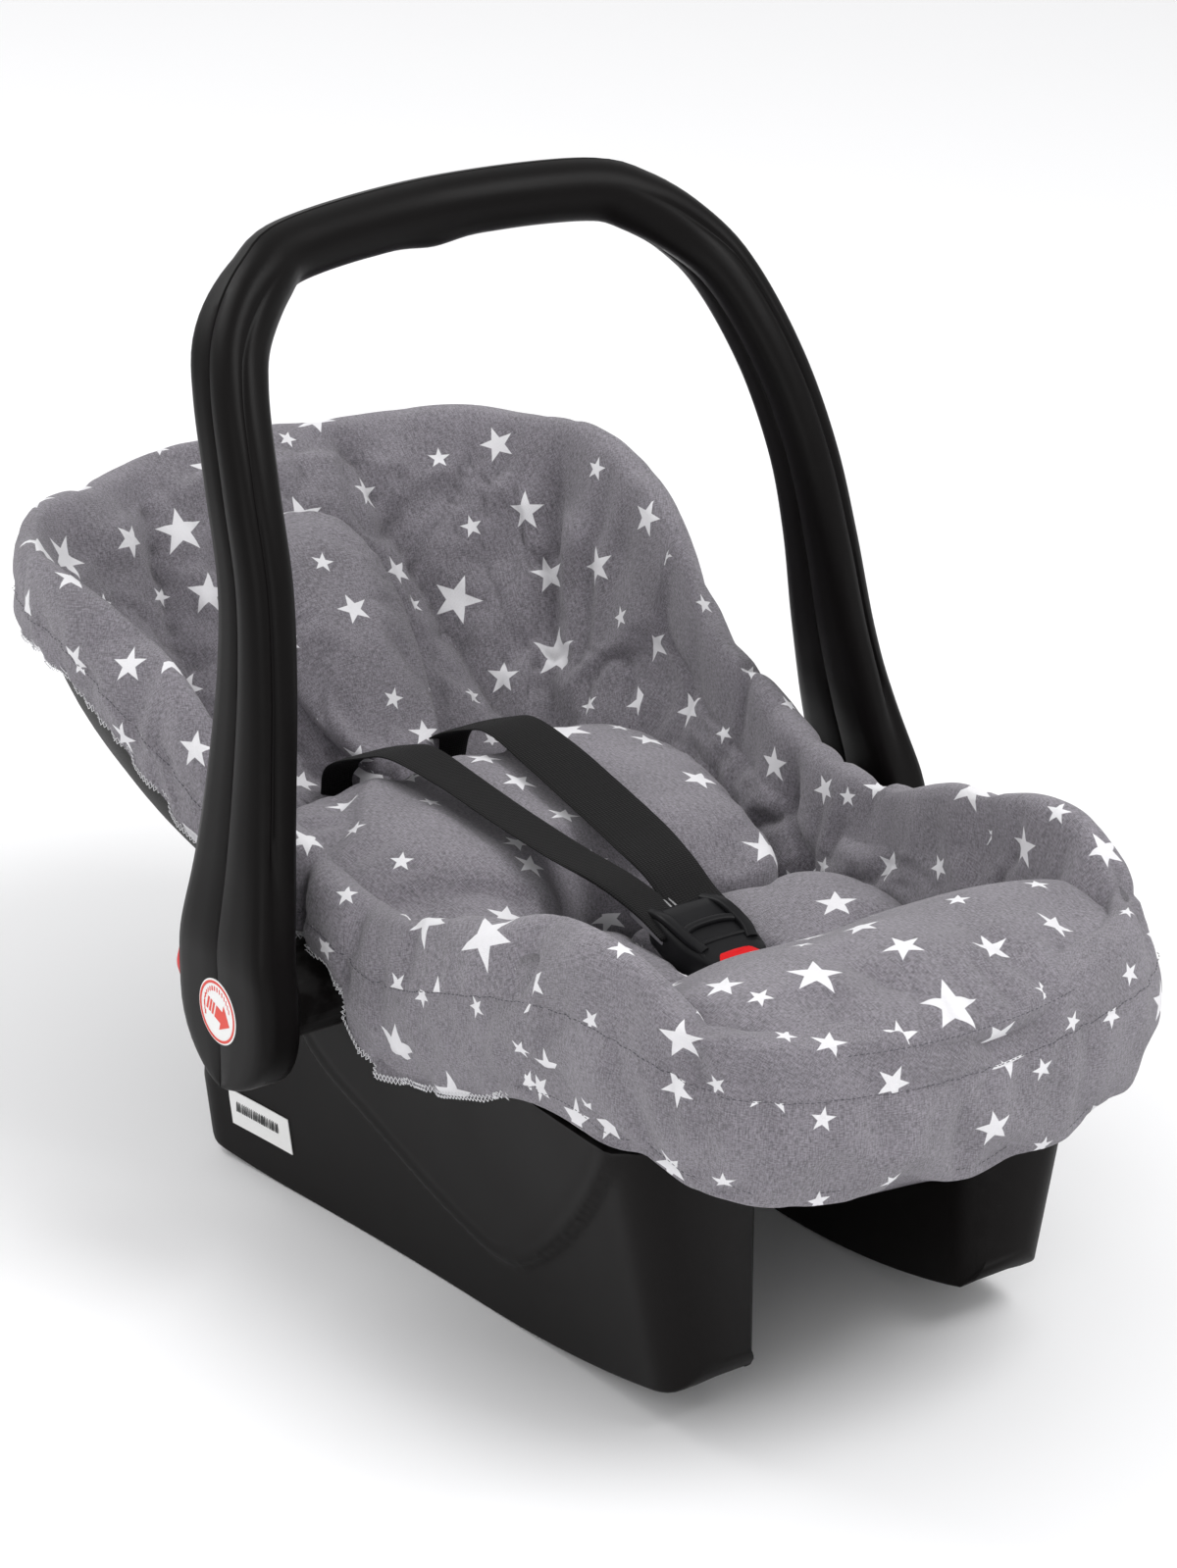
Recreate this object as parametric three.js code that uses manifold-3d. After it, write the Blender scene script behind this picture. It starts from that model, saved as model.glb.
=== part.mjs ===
// Infant car seat (baby carrier) with a swinging carry handle, rocker sides, a padded fabric cover
// and a three-point harness.
// Millimetres. +Z is up, -Y is the foot end, +Y is the head end, +X is the right side seen from the foot.
// The exported group is shifted so that its origin is the bottom centre of the seat's box.

import * as THREE from "three";
import { mergeVertices } from "three/addons/utils/BufferGeometryUtils.js";
import Module from "manifold-3d";

const wasm = await Module();
wasm.setup();

// ---------------------------------------------------------------- driving dimensions

const gap = 0.3; // clearance between pieces that touch
const runningGap = 0.1; // radial clearance of the handle on its pins

// Rim of the moulded bucket, as [half width, y, z], from the head centre by the right side to the foot.
const rimStations = [
  [0, 358, 311],
  [70, 351, 310],
  [130, 327, 308],
  [166, 280, 305],
  [175, 215, 300],
  [168, 150, 273],
  [156, 85, 236],
  [150, 22, 211],
  [147, -45, 208],
  [144, -110, 228],
  [140, -175, 248],
  [135, -232, 253],
  [114, -292, 242],
  [56, -311, 236],
  [0, -313, 233],
];
const widthScale = 1.0; // widens or narrows the whole seat, with everything that hangs on its sides
const bucketWall = 4;
const lipOut = 8;
const lipDrop = 7;
const keelHead = { y: 95, z: 128 }; // where the flat floor of the bucket meets the back
const keelFoot = { y: -70, z: 108 }; // where it meets the leg rest
const endRoundness = 1.15; // 1 is a straight slope from keel to rim, 2 a quarter ellipse
const sideRoundness = 2.6;

const coverThickness = 4;
// How far the cover hangs below the rim, by y: it is cut short round the handle's hubs.
const coverDrop = [
  [-330, 80],
  [-110, 78],
  [-40, 74],
  [0, 27],
  [50, 27],
  [95, 42],
  [215, 32],
  [360, 30],
];
const padEdge = 5;
const cushion = { reach: 0.3, sideReach: 0.3, height: 40, headExtra: 14 };

const rocker = {
  flatFront: -70,
  flatRear: 80,
  radius: 560,
  front: -246,
  rear: 166,
  wall: 4,
  innerX: 66,
  footX: 113, // outer face at the ground, near the front
  rearX: 147, // outer face at the ground, at the rear
  topX: 147, // outer face at its top, near the front
  topRearX: 166, // outer face at its top, at the rear
  topZ: 168,
  rearLean: 0.37, // how far the rear end leans forward for each mm of height
  leanFrom: 46,
  corner: 22,
};

const pivot = { y: 22, z: 158 };
const hub = { radius: 43, centreX: 202, thickness: 26 };
const pin = { radius: 8, headRadius: 13, headLength: 4 };
const housing = { radius: 24, innerX: 160 };
const screw = { shank: 2, head: 5, headHeight: 3, x: 104, bossZ: 62, bossRadius: 7 };
const label = { radius: 18, thickness: 0.8, recess: 1.2 };
const barcode = { length: 50, height: 22, thickness: 0.5, y: 105, z: 37 };
const gripRadius = 17;

// Centre line of the right arm above the hub, as [x, y, z, depth], with y and z measured from the pivot.
const armFromPivot = [
  [201, 1, 38, 80],
  [193, 4, 74, 68],
  [185, 8, 118, 56],
  [178, 12, 169, 46],
  [172, 21, 216, 40],
  [166, 41, 261, 37],
  [156, 66, 301, 35],
  [143, 84, 324, 34],
  [118, 100, 344, 34],
  [88, 113, 353, 34],
];
const gripFromPivot = [0, 124, 355, 34];

const button = { width: 14, height: 20, proud: 9, inside: 16, travel: 5 };
const strapWidth = 32;
const strapThick = 1.8;
const buckle = { width: 46, length: 56, thickness: 18, y: -108, z: 188, tilt: 12 };

const rimSamples = 56;
const bowlSteps = 9;

// ---------------------------------------------------------------- materials

const plastic = (colour, roughness) =>
  new THREE.MeshStandardMaterial({ color: colour, roughness, metalness: 0 });
const blackShell = plastic(0x1c1a1b, 0.55);
const blackHandle = plastic(0x151314, 0.5);
const redPlastic = plastic(0xc01c20, 0.35);
const steel = new THREE.MeshStandardMaterial({ color: 0x9a9ca0, roughness: 0.3, metalness: 0.9 });
const greyFabric = plastic(0x8b8a90, 0.95);
const webbing = plastic(0x0d0c0d, 0.9);
const paper = plastic(0xe9e6e1, 0.7);

// ---------------------------------------------------------------- solids

const root = new THREE.Group();
const V = (x, y, z) => new THREE.Vector3(x, y, z);

// A closed solid from corner triples; faces that collapse to a line are dropped.
function solidOf(corners) {
  const geometry = new THREE.BufferGeometry().setFromPoints(corners);
  const merged = mergeVertices(geometry, 1e-3);
  const source = merged.index.array;
  const kept = [];
  for (let i = 0; i < source.length; i += 3) {
    const [a, b, c] = [source[i], source[i + 1], source[i + 2]];
    if (a !== b && b !== c && a !== c) kept.push(a, b, c);
  }
  const build = (triangles) =>
    new wasm.Manifold(
      new wasm.Mesh({
        numProp: 3,
        vertProperties: merged.attributes.position.array,
        triVerts: new Uint32Array(triangles),
      }),
    );
  const made = build(kept);
  if (made.volume() > 0) return made;
  return build(kept.slice().reverse());
}

function solidOfGeometry(geometry) {
  const loose = geometry.index ? geometry.toNonIndexed() : geometry;
  const at = loose.getAttribute("position");
  const corners = [];
  for (let i = 0; i < at.count; i++) corners.push(V(at.getX(i), at.getY(i), at.getZ(i)));
  return solidOf(corners);
}

function geometryOf(solid) {
  const mesh = solid.getMesh();
  const points = new Float32Array(mesh.numVert * 3);
  for (let i = 0; i < mesh.numVert; i++)
    points.set(mesh.vertProperties.subarray(i * mesh.numProp, i * mesh.numProp + 3), i * 3);
  const geometry = new THREE.BufferGeometry();
  geometry.setAttribute("position", new THREE.BufferAttribute(points, 3));
  geometry.setIndex(new THREE.BufferAttribute(mesh.triVerts, 1));
  geometry.computeVertexNormals();
  return geometry;
}

function add(name, solid, material) {
  const mesh = new THREE.Mesh(geometryOf(solid), material);
  mesh.name = name;
  root.add(mesh);
}

const quad = (out, a, b, c, d) => out.push(a, b, c, a, c, d);

// Skins closed loops of equal length, and caps both ends.
function loft(sections) {
  const out = [];
  const count = sections[0].length;
  for (let i = 0; i + 1 < sections.length; i++)
    for (let j = 0; j < count; j++) {
      const k = (j + 1) % count;
      quad(out, sections[i][j], sections[i][k], sections[i + 1][k], sections[i + 1][j]);
    }
  capOf(sections[0]).forEach(([a, b, c]) => out.push(c, b, a));
  capOf(sections[sections.length - 1]).forEach(([a, b, c]) => out.push(a, b, c));
  return solidOf(out);
}

// Triangles that fill a flat loop, turned the way the loop turns.
function capOf(loop) {
  const normal = V(0, 0, 0);
  loop.forEach((p, i) => normal.add(V().crossVectors(p, loop[(i + 1) % loop.length])));
  normal.normalize();
  const across = Math.abs(normal.x) < 0.9 ? V(1, 0, 0) : V(0, 1, 0);
  const u = V().crossVectors(across, normal).normalize();
  const v = V().crossVectors(normal, u);
  const flat = loop.map((p) => new THREE.Vector2(p.dot(u), p.dot(v)));
  return THREE.ShapeUtils.triangulateShape(flat, []).map((t) => t.map((i) => loop[i]));
}

// Joins open lines that go once round the rim; the surface closes on itself at the keel.
function skinRound(lines) {
  const out = [];
  lines.forEach((line, i) => {
    const next = lines[(i + 1) % lines.length];
    for (let j = 0; j + 1 < line.length; j++)
      quad(out, line[j], line[j + 1], next[j + 1], next[j]);
  });
  return solidOf(out);
}

const steps = (from, to, count) =>
  Array.from({ length: count + 1 }, (_, i) => from + ((to - from) * i) / count);

function box(sizeX, sizeY, sizeZ, centre, turnX = 0) {
  const geometry = new THREE.BoxGeometry(sizeX, sizeY, sizeZ);
  geometry.deleteAttribute("normal");
  geometry.deleteAttribute("uv");
  geometry.rotateX(THREE.MathUtils.degToRad(turnX));
  geometry.translate(centre.x, centre.y, centre.z);
  return solidOfGeometry(geometry);
}

// A cylinder along X between two x values, centred on a point of the side view.
function rod(radius, x0, x1, y, z, sides = 24) {
  const geometry = new THREE.CylinderGeometry(radius, radius, Math.abs(x1 - x0), sides);
  geometry.rotateZ(Math.PI / 2);
  geometry.translate((x0 + x1) / 2, y, z);
  return solidOfGeometry(geometry);
}

// A box with its four edges along `Z` rounded, tilted about X and set in place.
function roundedBlock(width, length, thickness, radius, centre, tilt) {
  const [w, l] = [width / 2 - radius, length / 2 - radius];
  const shape = new THREE.Shape();
  shape.absarc(w, l, radius, 0, Math.PI / 2);
  shape.absarc(-w, l, radius, Math.PI / 2, Math.PI);
  shape.absarc(-w, -l, radius, Math.PI, 1.5 * Math.PI);
  shape.absarc(w, -l, radius, 1.5 * Math.PI, 2 * Math.PI);
  const geometry = new THREE.ExtrudeGeometry(shape, {
    depth: thickness,
    bevelEnabled: false,
    curveSegments: 5,
  });
  geometry.translate(0, 0, -thickness / 2);
  geometry.rotateX(THREE.MathUtils.degToRad(tilt));
  geometry.translate(centre.x, centre.y, centre.z);
  return solidOfGeometry(geometry);
}

const mirrored = (solid) => solid.mirror([1, 0, 0]);

// Room round the housing of one side, `grow` wider than the housing.
function housingSpace(side) {
  const outer = side * (hub.centreX * widthScale + 10);
  const inner = side * (housing.innerX * widthScale - 40);
  return rod(housing.radius + 2 * gap, inner, outer, pivot.y, pivot.z, 32);
}

// ---------------------------------------------------------------- the bucket's surface

const rightSide = rimStations.map(([x, y, z]) => V(x * widthScale, y, z));
const leftSide = rightSide.slice(1, -1).reverse().map((p) => V(-p.x, p.y, p.z));
const rimCurve = new THREE.CatmullRomCurve3([...rightSide, ...leftSide], true, "catmullrom", 0.5);
const stationCount = rightSide.length + leftSide.length;
const atStation = (index) => index / stationCount;
const wrap = (u) => ((u % 1) + 1) % 1;

const rimAt = (u) => rimCurve.getPoint(wrap(u));

// Unit vector in plan, square to the rim and away from the seat.
function outwardAt(u) {
  const along = rimAt(u + 0.004).sub(rimAt(u - 0.004));
  return V(along.y, -along.x, 0).normalize().negate();
}

function keelUnder(rim) {
  const y = THREE.MathUtils.clamp(rim.y * 0.8, keelFoot.y, keelHead.y);
  const share = (y - keelFoot.y) / (keelHead.y - keelFoot.y);
  return V(0, y, keelFoot.z + (keelHead.z - keelFoot.z) * share * share);
}

// The inner face of the bucket: u runs round the rim, s from 0 at the keel to 1 at the rim.
function bowlFace(u, s) {
  const rim = rimAt(u);
  const keel = keelUnder(rim);
  const [dx, dy] = [rim.x - keel.x, rim.y - keel.y];
  const sideways = Math.pow(Math.abs(dx) / Math.hypot(dx, dy), 1.5);
  const power = 2 / (endRoundness + (sideRoundness - endRoundness) * sideways);
  const out = Math.pow(Math.sin((s * Math.PI) / 2), power);
  const up = 1 - Math.pow(Math.cos((s * Math.PI) / 2), power);
  return V(dx * out, keel.y + dy * out, keel.z + (rim.z - keel.z) * up);
}

// A point lifted off that face, towards the child; a negative lift is inside or behind the wall.
function bowl(u, s, lift) {
  const at = Math.min(Math.max(s, 0.04), 0.97);
  const alongU = bowlFace(u + 0.003, at).sub(bowlFace(u - 0.003, at));
  const alongS = bowlFace(u, at + 0.02).sub(bowlFace(u, at - 0.02));
  const normal = V().crossVectors(alongU, alongS).normalize();
  if (normal.z < 0) normal.negate();
  if (s < 0.02) normal.set(0, 0, 1);
  return bowlFace(u, s).addScaledVector(normal, lift);
}

const rimPoint = (u, out, up) => rimAt(u).addScaledVector(outwardAt(u), out).add(V(0, 0, up));

const turns = steps(0, 1, rimSamples).slice(0, -1);
const fullBowl = steps(0, 1, bowlSteps);

// ---------------------------------------------------------------- moulded bucket

// Everything the bucket fills, grown by `grow`, with the space above it.
function bucketSpace(grow) {
  return skinRound(
    turns.map((u) => [
      ...fullBowl.slice(0, -1).map((s) => bowl(u, s, -bucketWall - grow)),
      rimPoint(u, bucketWall + grow, -lipDrop - grow),
      rimPoint(u, lipOut + grow, -lipDrop - grow),
      rimPoint(u, lipOut + grow, 30),
      V(0, keelHead.y, 600),
    ]),
  );
}

const shoulderSlot = { x: 32, at: 0.37 }; // `at` is the share of the way from the keel to the rim
const crotchSlot = { at: 0.3 };
const slotPoint = bowl(0, shoulderSlot.at, -bucketWall / 2);
const crotchPoint = bowl(0.5, crotchSlot.at, -bucketWall / 2);

// The bucket's shell, grown on every side by `grow`.
function bucketShell(grow) {
  return skinRound(
    turns.map((u) => [
      ...fullBowl.map((s) => bowl(u, s, grow)),
      rimPoint(u, -grow, grow),
      rimPoint(u, lipOut + grow, grow),
      rimPoint(u, lipOut + grow, -lipDrop - grow),
      rimPoint(u, bucketWall + grow, -lipDrop - grow),
      ...fullBowl.slice(0, -1).reverse().map((s) => bowl(u, s, -bucketWall - grow)),
    ]),
  );
}

const strapSlot = (x, at) => box(strapWidth + 6, 20, 50, V(x, at.y, at.z));
const shoulderSlots = strapSlot(shoulderSlot.x, slotPoint).add(strapSlot(-shoulderSlot.x, slotPoint));
const crotchOpening = strapSlot(0, crotchPoint);

// A round column along Z.
function column(radius, x, y, z0, z1, sides = 16) {
  const geometry = new THREE.CylinderGeometry(radius, radius, z1 - z0, sides);
  geometry.rotateX(Math.PI / 2);
  geometry.translate(x, y, (z0 + z1) / 2);
  return solidOfGeometry(geometry);
}

const screwPlaces = [rocker.flatFront, rocker.flatRear].map((y) => {
  const x = screw.x * widthScale;
  const under = column(0.5, x, y, 0, 400).intersect(bucketSpace(0)).boundingBox().min[2];
  return { x, y, tip: under + bucketWall * 0.7 };
});

function makeBucket() {
  let shell = bucketShell(0).subtract(shoulderSlots).subtract(crotchOpening);
  for (const at of screwPlaces)
    for (const side of [-1, 1])
      shell = shell.subtract(column(screw.shank + gap, side * at.x, at.y, at.tip - 20, at.tip + gap));
  return shell;
}

function makeScrew(side, at) {
  const head = column(screw.head, side * at.x, at.y, screw.bossZ - screw.headHeight, screw.bossZ);
  return head.add(column(screw.shank, side * at.x, at.y, screw.bossZ - 1, at.tip));
}

// ---------------------------------------------------------------- rocker sides

// Height of the rocker's foot: flat in the middle, an arc towards each end.
function footAt(y) {
  const past = Math.max(rocker.flatFront - y, y - rocker.flatRear, 0);
  return rocker.radius - Math.sqrt(rocker.radius ** 2 - past ** 2);
}

// Outer face of the rocker, leaning in towards the ground and rounded at both ends.
function rockerFace(y, z, inset) {
  const share = THREE.MathUtils.clamp((y - rocker.front) / (rocker.rear - rocker.front), 0, 1);
  const foot = rocker.footX + (rocker.rearX - rocker.footX) * share * share;
  const top = rocker.topX + (rocker.topRearX - rocker.topX) * share ** 4;
  const lean = foot + ((top - foot) * z) / rocker.topZ;
  const toEnd = Math.min(y - rocker.front, rocker.rear - y) - inset;
  const short = Math.max(rocker.corner - toEnd, 0);
  const round = rocker.corner - Math.sqrt(rocker.corner ** 2 - Math.min(short, rocker.corner) ** 2);
  return (lean - inset - round) * widthScale;
}

// A place on the rocker: its rear end leans forward as it rises.
function onRocker(x, y, z) {
  const toRear = THREE.MathUtils.clamp((y - rocker.flatRear) / (rocker.rear - rocker.flatRear), 0, 1);
  return V(x, y - toRear * rocker.rearLean * Math.max(z - rocker.leanFrom, 0), z);
}

function rockerBody(inset, drop, top) {
  const along = [
    ...steps(rocker.front + inset, rocker.front + rocker.corner, 3),
    ...steps(rocker.front + rocker.corner + 26, rocker.rear - rocker.corner - 20, 10),
    ...steps(rocker.rear - rocker.corner, rocker.rear - inset, 3),
  ];
  return loft(
    along.map((y) => {
      const foot = footAt(y) - drop;
      const inner = (rocker.innerX + inset) * widthScale;
      const heights = [foot, rocker.leanFrom, ...steps(rocker.leanFrom, top, 3).slice(1)];
      const outside = heights.map((z) => onRocker(rockerFace(y, z, inset), y, z));
      const inside = [top, rocker.leanFrom, foot].map((z) => onRocker(inner, y, z));
      return [...inside, ...outside];
    }),
  );
}

function makeRocker() {
  const outer = rockerBody(0, 0, rocker.topZ);
  const middleX = ((rocker.topX + rocker.innerX) / 2) * widthScale;
  const ribWidth = (rocker.topX - rocker.innerX) * widthScale;
  let body = outer.subtract(rockerBody(rocker.wall, 20, rocker.topZ + 40));
  for (const at of screwPlaces) {
    const rib = box(ribWidth, 3, rocker.topZ * 2, V(middleX, at.y, rocker.topZ + 14)).intersect(outer);
    body = body.add(rib).add(column(screw.bossRadius, at.x, at.y, screw.bossZ + gap, rocker.topZ));
  }
  for (const at of screwPlaces) {
    body = body.subtract(column(screw.head + 2, at.x, at.y, -10, screw.bossZ + gap));
    body = body.subtract(column(screw.shank + gap, at.x, at.y, 0, 300));
  }
  return body.subtract(bucketSpace(gap)).subtract(housingSpace(1));
}

// ---------------------------------------------------------------- handle

// Stations of the whole handle, from below the left hub over the grip to below the right hub.
function handleStations() {
  const below = steps(-hub.radius + 0.5, 30, 7).map((dz) => [
    hub.centreX,
    pivot.y,
    pivot.z + dz,
    2 * Math.sqrt(hub.radius ** 2 - Math.max(-dz, 0) ** 2),
  ]);
  const onPivot = ([x, y, z, depth]) => [x, pivot.y + y, pivot.z + z, depth];
  const arm = armFromPivot.map(onPivot);
  const right = [...below, ...arm].map(([x, ...rest]) => [x * widthScale, ...rest]);
  const left = right.map(([x, ...rest]) => [-x, ...rest]);
  return [...left, onPivot(gripFromPivot), ...right.reverse()];
}

// One half of the handle's section: the front half towards the foot end, the rear half towards the head.
function handleHalf(front) {
  const stations = handleStations();
  const curve = new THREE.CatmullRomCurve3(stations.map(([x, y, z]) => V(x, y, z)), false, "centripetal");
  const sign = front ? -1 : 1;
  const sections = [];
  stations.forEach((station, i) => {
    const here = V(...station);
    const along = curve.getTangent(i / (stations.length - 1));
    if (Math.abs(station[2] - pivot.z) < hub.radius + 2) along.set(0, 0, station[0] < 0 ? 1 : -1);
    const depth = V(0, 1, 0).addScaledVector(along, -along.y).normalize();
    const side = V().crossVectors(depth, along).normalize();
    const isArm = Math.abs(station[0]) > hub.centreX * widthScale * 0.86;
    const halfThick = isArm ? hub.thickness / 2 : gripRadius - 2;
    const halfDepth = station[3] / 2;
    const arc = steps(0, Math.PI, 6).map((a) => {
      const squareness = 0.55;
      const c = Math.sign(Math.cos(a)) * Math.pow(Math.abs(Math.cos(a)), squareness);
      const s = Math.pow(Math.abs(Math.sin(a)), squareness);
      return here
        .clone()
        .addScaledVector(side, c * halfThick)
        .addScaledVector(depth, sign * (gap / 2 + s * halfDepth));
    });
    sections.push(arc);
  });
  return loft(sections);
}

const buttonTop = { y: pivot.y + hub.radius, z: pivot.z + 6 };
const pocket = { front: pivot.y + 12, width: button.width + 1, height: button.height + 1 };

function handlePocket(side) {
  const length = buttonTop.y + 10 - pocket.front;
  const centre = V(side * hub.centreX * widthScale, pocket.front + length / 2, buttonTop.z);
  return box(pocket.width, length, pocket.height, centre);
}

function makeHandle(front) {
  let half = handleHalf(front);
  for (const side of [-1, 1]) {
    const x = side * hub.centreX * widthScale;
    const outer = x + (side * hub.thickness) / 2;
    const bore = rod(pin.radius + runningGap, x - hub.thickness, x + hub.thickness, pivot.y, pivot.z, 32);
    const headRoom = rod(pin.headRadius + gap, headStart(side) - side * gap, outer + side, pivot.y, pivot.z);
    const labelStart = outer - side * label.recess;
    const labelRoom = rod(label.radius + gap, labelStart, outer + side, pivot.y, pivot.z, 32);
    half = half.subtract(bore).subtract(headRoom).subtract(labelRoom);
    if (!front) half = half.subtract(handlePocket(side));
  }
  return half;
}

// x of the inner and of the outer face of the pin's head, which lies under the label.
function headStart(side) {
  return headEnd(side) - side * pin.headLength;
}

function headEnd(side) {
  return side * (hub.centreX * widthScale + hub.thickness / 2 - label.recess - gap);
}

function makePin(side) {
  const start = side * (housing.innerX * widthScale - 2);
  const shank = rod(pin.radius, start, headEnd(side), pivot.y, pivot.z, 32);
  return shank.add(rod(pin.headRadius, headStart(side), headEnd(side), pivot.y, pivot.z));
}

function makeLabel(side) {
  const outer = side * (hub.centreX * widthScale + hub.thickness / 2);
  return rod(label.radius, outer - side * label.thickness, outer, pivot.y, pivot.z, 32);
}

// A thin sticker that follows the left rocker's outer wall.
function makeBarcode() {
  const y0 = barcode.y - barcode.length / 2;
  const z0 = barcode.z - barcode.height / 2;
  return loft(
    steps(y0, y0 + barcode.length, 4).map((y) => {
      const line = steps(z0, z0 + barcode.height, 2);
      const at = (z, off) => onRocker(-rockerFace(y, z, 0) - off, y, z);
      const off = gap;
      return [...line.map((z) => at(z, off)), ...line.map((z) => at(z, off + barcode.thickness)).reverse()];
    }),
  );
}

function makeHousing(side) {
  const inner = side * housing.innerX * widthScale;
  const outer = side * (hub.centreX * widthScale - hub.thickness / 2 - gap);
  const body = rod(housing.radius, inner - side * 30, outer, pivot.y, pivot.z, 32);
  return body
    .subtract(rod(pin.radius + gap, inner - side * (2 + gap), side * 260, pivot.y, pivot.z))
    .subtract(bucketSpace(gap));
}

function makeReleaseButton(side) {
  const length = button.proud + button.inside;
  const centre = V(side * hub.centreX * widthScale, buttonTop.y + button.proud - length / 2, buttonTop.z);
  return box(button.width, length, button.height, centre);
}

function makeLockPin(side) {
  const from = pocket.front + button.travel + 1;
  const to = buttonTop.y - button.inside - gap; // the button pushes it
  return box(6, to - from, 8, V(side * hub.centreX * widthScale, (from + to) / 2, buttonTop.z));
}

// ---------------------------------------------------------------- fabric cover and pads

function dropAt(u) {
  const y = rimAt(u).y;
  const next = coverDrop.findIndex(([place]) => place > y);
  const [y0, drop0] = coverDrop[next - 1];
  const [y1, drop1] = coverDrop[next];
  return THREE.MathUtils.lerp(drop0, drop1, (y - y0) / (y1 - y0));
}

// A panel of the cover that wraps over the rim between two places round it.
function coverPanel(from, to, count) {
  const under = lipOut + 1.4;
  const over = under + coverThickness;
  return loft(
    steps(from, to, count).map((u) => {
      const drop = dropAt(u);
      return [
        bowl(u, 0.84, 1),
        bowl(u, 0.92, 1),
        rimPoint(u, -1.2, 1.6),
        rimPoint(u, under, 1.6),
        rimPoint(u, under, -drop),
        rimPoint(u, over, -drop),
        rimPoint(u, over, -6),
        rimPoint(u, over - 3, 5),
        rimPoint(u, 3, 8.5),
        rimPoint(u, -6, 6),
        bowl(u, 0.92, 7),
        bowl(u, 0.84, 6),
      ];
    }),
  );
}

// How far up the bucket's face the seat cushion reaches: further at the sides than at the ends.
function cushionEdge(u) {
  const rim = rimAt(u);
  const keel = keelUnder(rim);
  const sideways = Math.abs(rim.x) / Math.hypot(rim.x, rim.y - keel.y);
  return cushion.reach + cushion.sideReach * sideways ** 3;
}

// A crowned pad lying on the bucket's inner face, above the seat cushion.
function facePad(fromU, toU, fromS, toS, thick, countU, countS) {
  return loft(
    steps(fromU, toU, countU).map((u, i) => {
      const acrossU = Math.sin((Math.PI * (i + 0.5)) / (countU + 1));
      const line = steps(Math.max(fromS, cushionEdge(u) + 0.05), toS, countS);
      const crown = (j) => Math.sqrt(Math.sin((Math.PI * (j + 0.35)) / (countS + 0.7)) * Math.sqrt(acrossU));
      return [
        ...line.map((s) => bowl(u, s, 1)),
        ...line.map((s, j) => bowl(u, s, 1 + padEdge + (thick - padEdge) * crown(j))).reverse(),
      ];
    }),
  );
}

// The seat cushion fills the floor of the bucket inside the other pads, and rises towards the back.
function makeSeatCushion() {
  const count = 6;
  return skinRound(
    turns.map((u) => {
      const line = steps(0, cushionEdge(u), count);
      const toHead = THREE.MathUtils.clamp(rimAt(u).y / 300, 0, 1);
      const height = (j) => {
        const round = Math.sqrt(1 - (j / (count + 0.3)) ** 4);
        return padEdge + (cushion.height + cushion.headExtra * toHead * (j / count) - padEdge) * round;
      };
      return [...line.map((s) => bowl(u, s, 1)), ...line.map((s, j) => bowl(u, s, 1 + height(j))).reverse()];
    }),
  );
}

// ---------------------------------------------------------------- harness

// A flat ribbon along a route; `across` is the direction of its width.
function ribbon(route, across, width, thickness, count) {
  const curve = new THREE.CatmullRomCurve3(route, false, "centripetal");
  return loft(
    steps(0, 1, count).map((t) => {
      const here = curve.getPointAt(t);
      const along = curve.getTangentAt(t);
      const wide = across.clone().addScaledVector(along, -across.dot(along)).normalize();
      const thin = V().crossVectors(along, wide).normalize();
      const corner = (a, b) =>
        here.clone().addScaledVector(wide, (a * width) / 2).addScaledVector(thin, (b * thickness) / 2);
      return [corner(-1, -1), corner(1, -1), corner(1, 1), corner(-1, 1)];
    }),
  );
}

const tongue = { width: 22, length: 34, thickness: 3, x: 12 };
const buckleAt = V(0, buckle.y, buckle.z);
const buckleTilt = THREE.MathUtils.degToRad(buckle.tilt);
// A place on the buckle: across, along towards the child's chest, and up out of its face.
const onBuckle = (across, along, up) =>
  V(across, along, up).applyAxisAngle(V(1, 0, 0), buckleTilt).add(buckleAt);

function makeShoulderStrap(side) {
  const x = side * shoulderSlot.x;
  const route = [
    V(x, slotPoint.y + 2, slotPoint.z - 24),
    V(x, slotPoint.y, slotPoint.z),
    V(x, slotPoint.y - 5, slotPoint.z + 22),
    V(x * 0.98, slotPoint.y - 28, slotPoint.z + 42),
    V(x * 0.9, 92, 222),
    V(x * 0.75, 10, 216),
    onBuckle(side * 14, buckle.length / 2 + 20, 3),
  ];
  return ribbon(route, V(1, 0, 0), strapWidth - 4, strapThick, 16);
}

// The flat metal tongue of one strap, or with `grow` the room for it.
function tongueBlock(side, grow) {
  const centre = onBuckle(side * tongue.x, buckle.length / 2 - 3, 1);
  const { width, length, thickness } = tongue;
  return roundedBlock(width + 2 * grow, length + 2 * grow, thickness + 2 * grow, 4, centre, buckle.tilt);
}

function makeBuckleBody() {
  const body = roundedBlock(buckle.width, buckle.length, buckle.thickness, 8, buckleAt, buckle.tilt);
  const tongues = [-1, 1].map((side) => tongueBlock(side, gap));
  return body
    .subtract(tongues[0])
    .subtract(tongues[1])
    .subtract(buckleButtonBlock(0.5, 0))
    .subtract(box(strapWidth + 1, 30, 4, onBuckle(0, -buckle.length / 2, -3.5), buckle.tilt));
}

const buckleButton = { width: 28, length: 17, travel: 4 };

// The red press button at the buckle's foot end, which travels along the buckle.
function buckleButtonBlock(grow, proud) {
  const centre = onBuckle(0, -buckle.length / 2 + buckleButton.length / 2 - 2.5 + proud, 4.6);
  return roundedBlock(
    buckleButton.width + 2 * grow,
    buckleButton.length + 2 * grow + (grow ? 2 * buckleButton.travel : 0),
    8 + 2 * grow,
    3,
    centre,
    buckle.tilt,
  );
}

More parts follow.
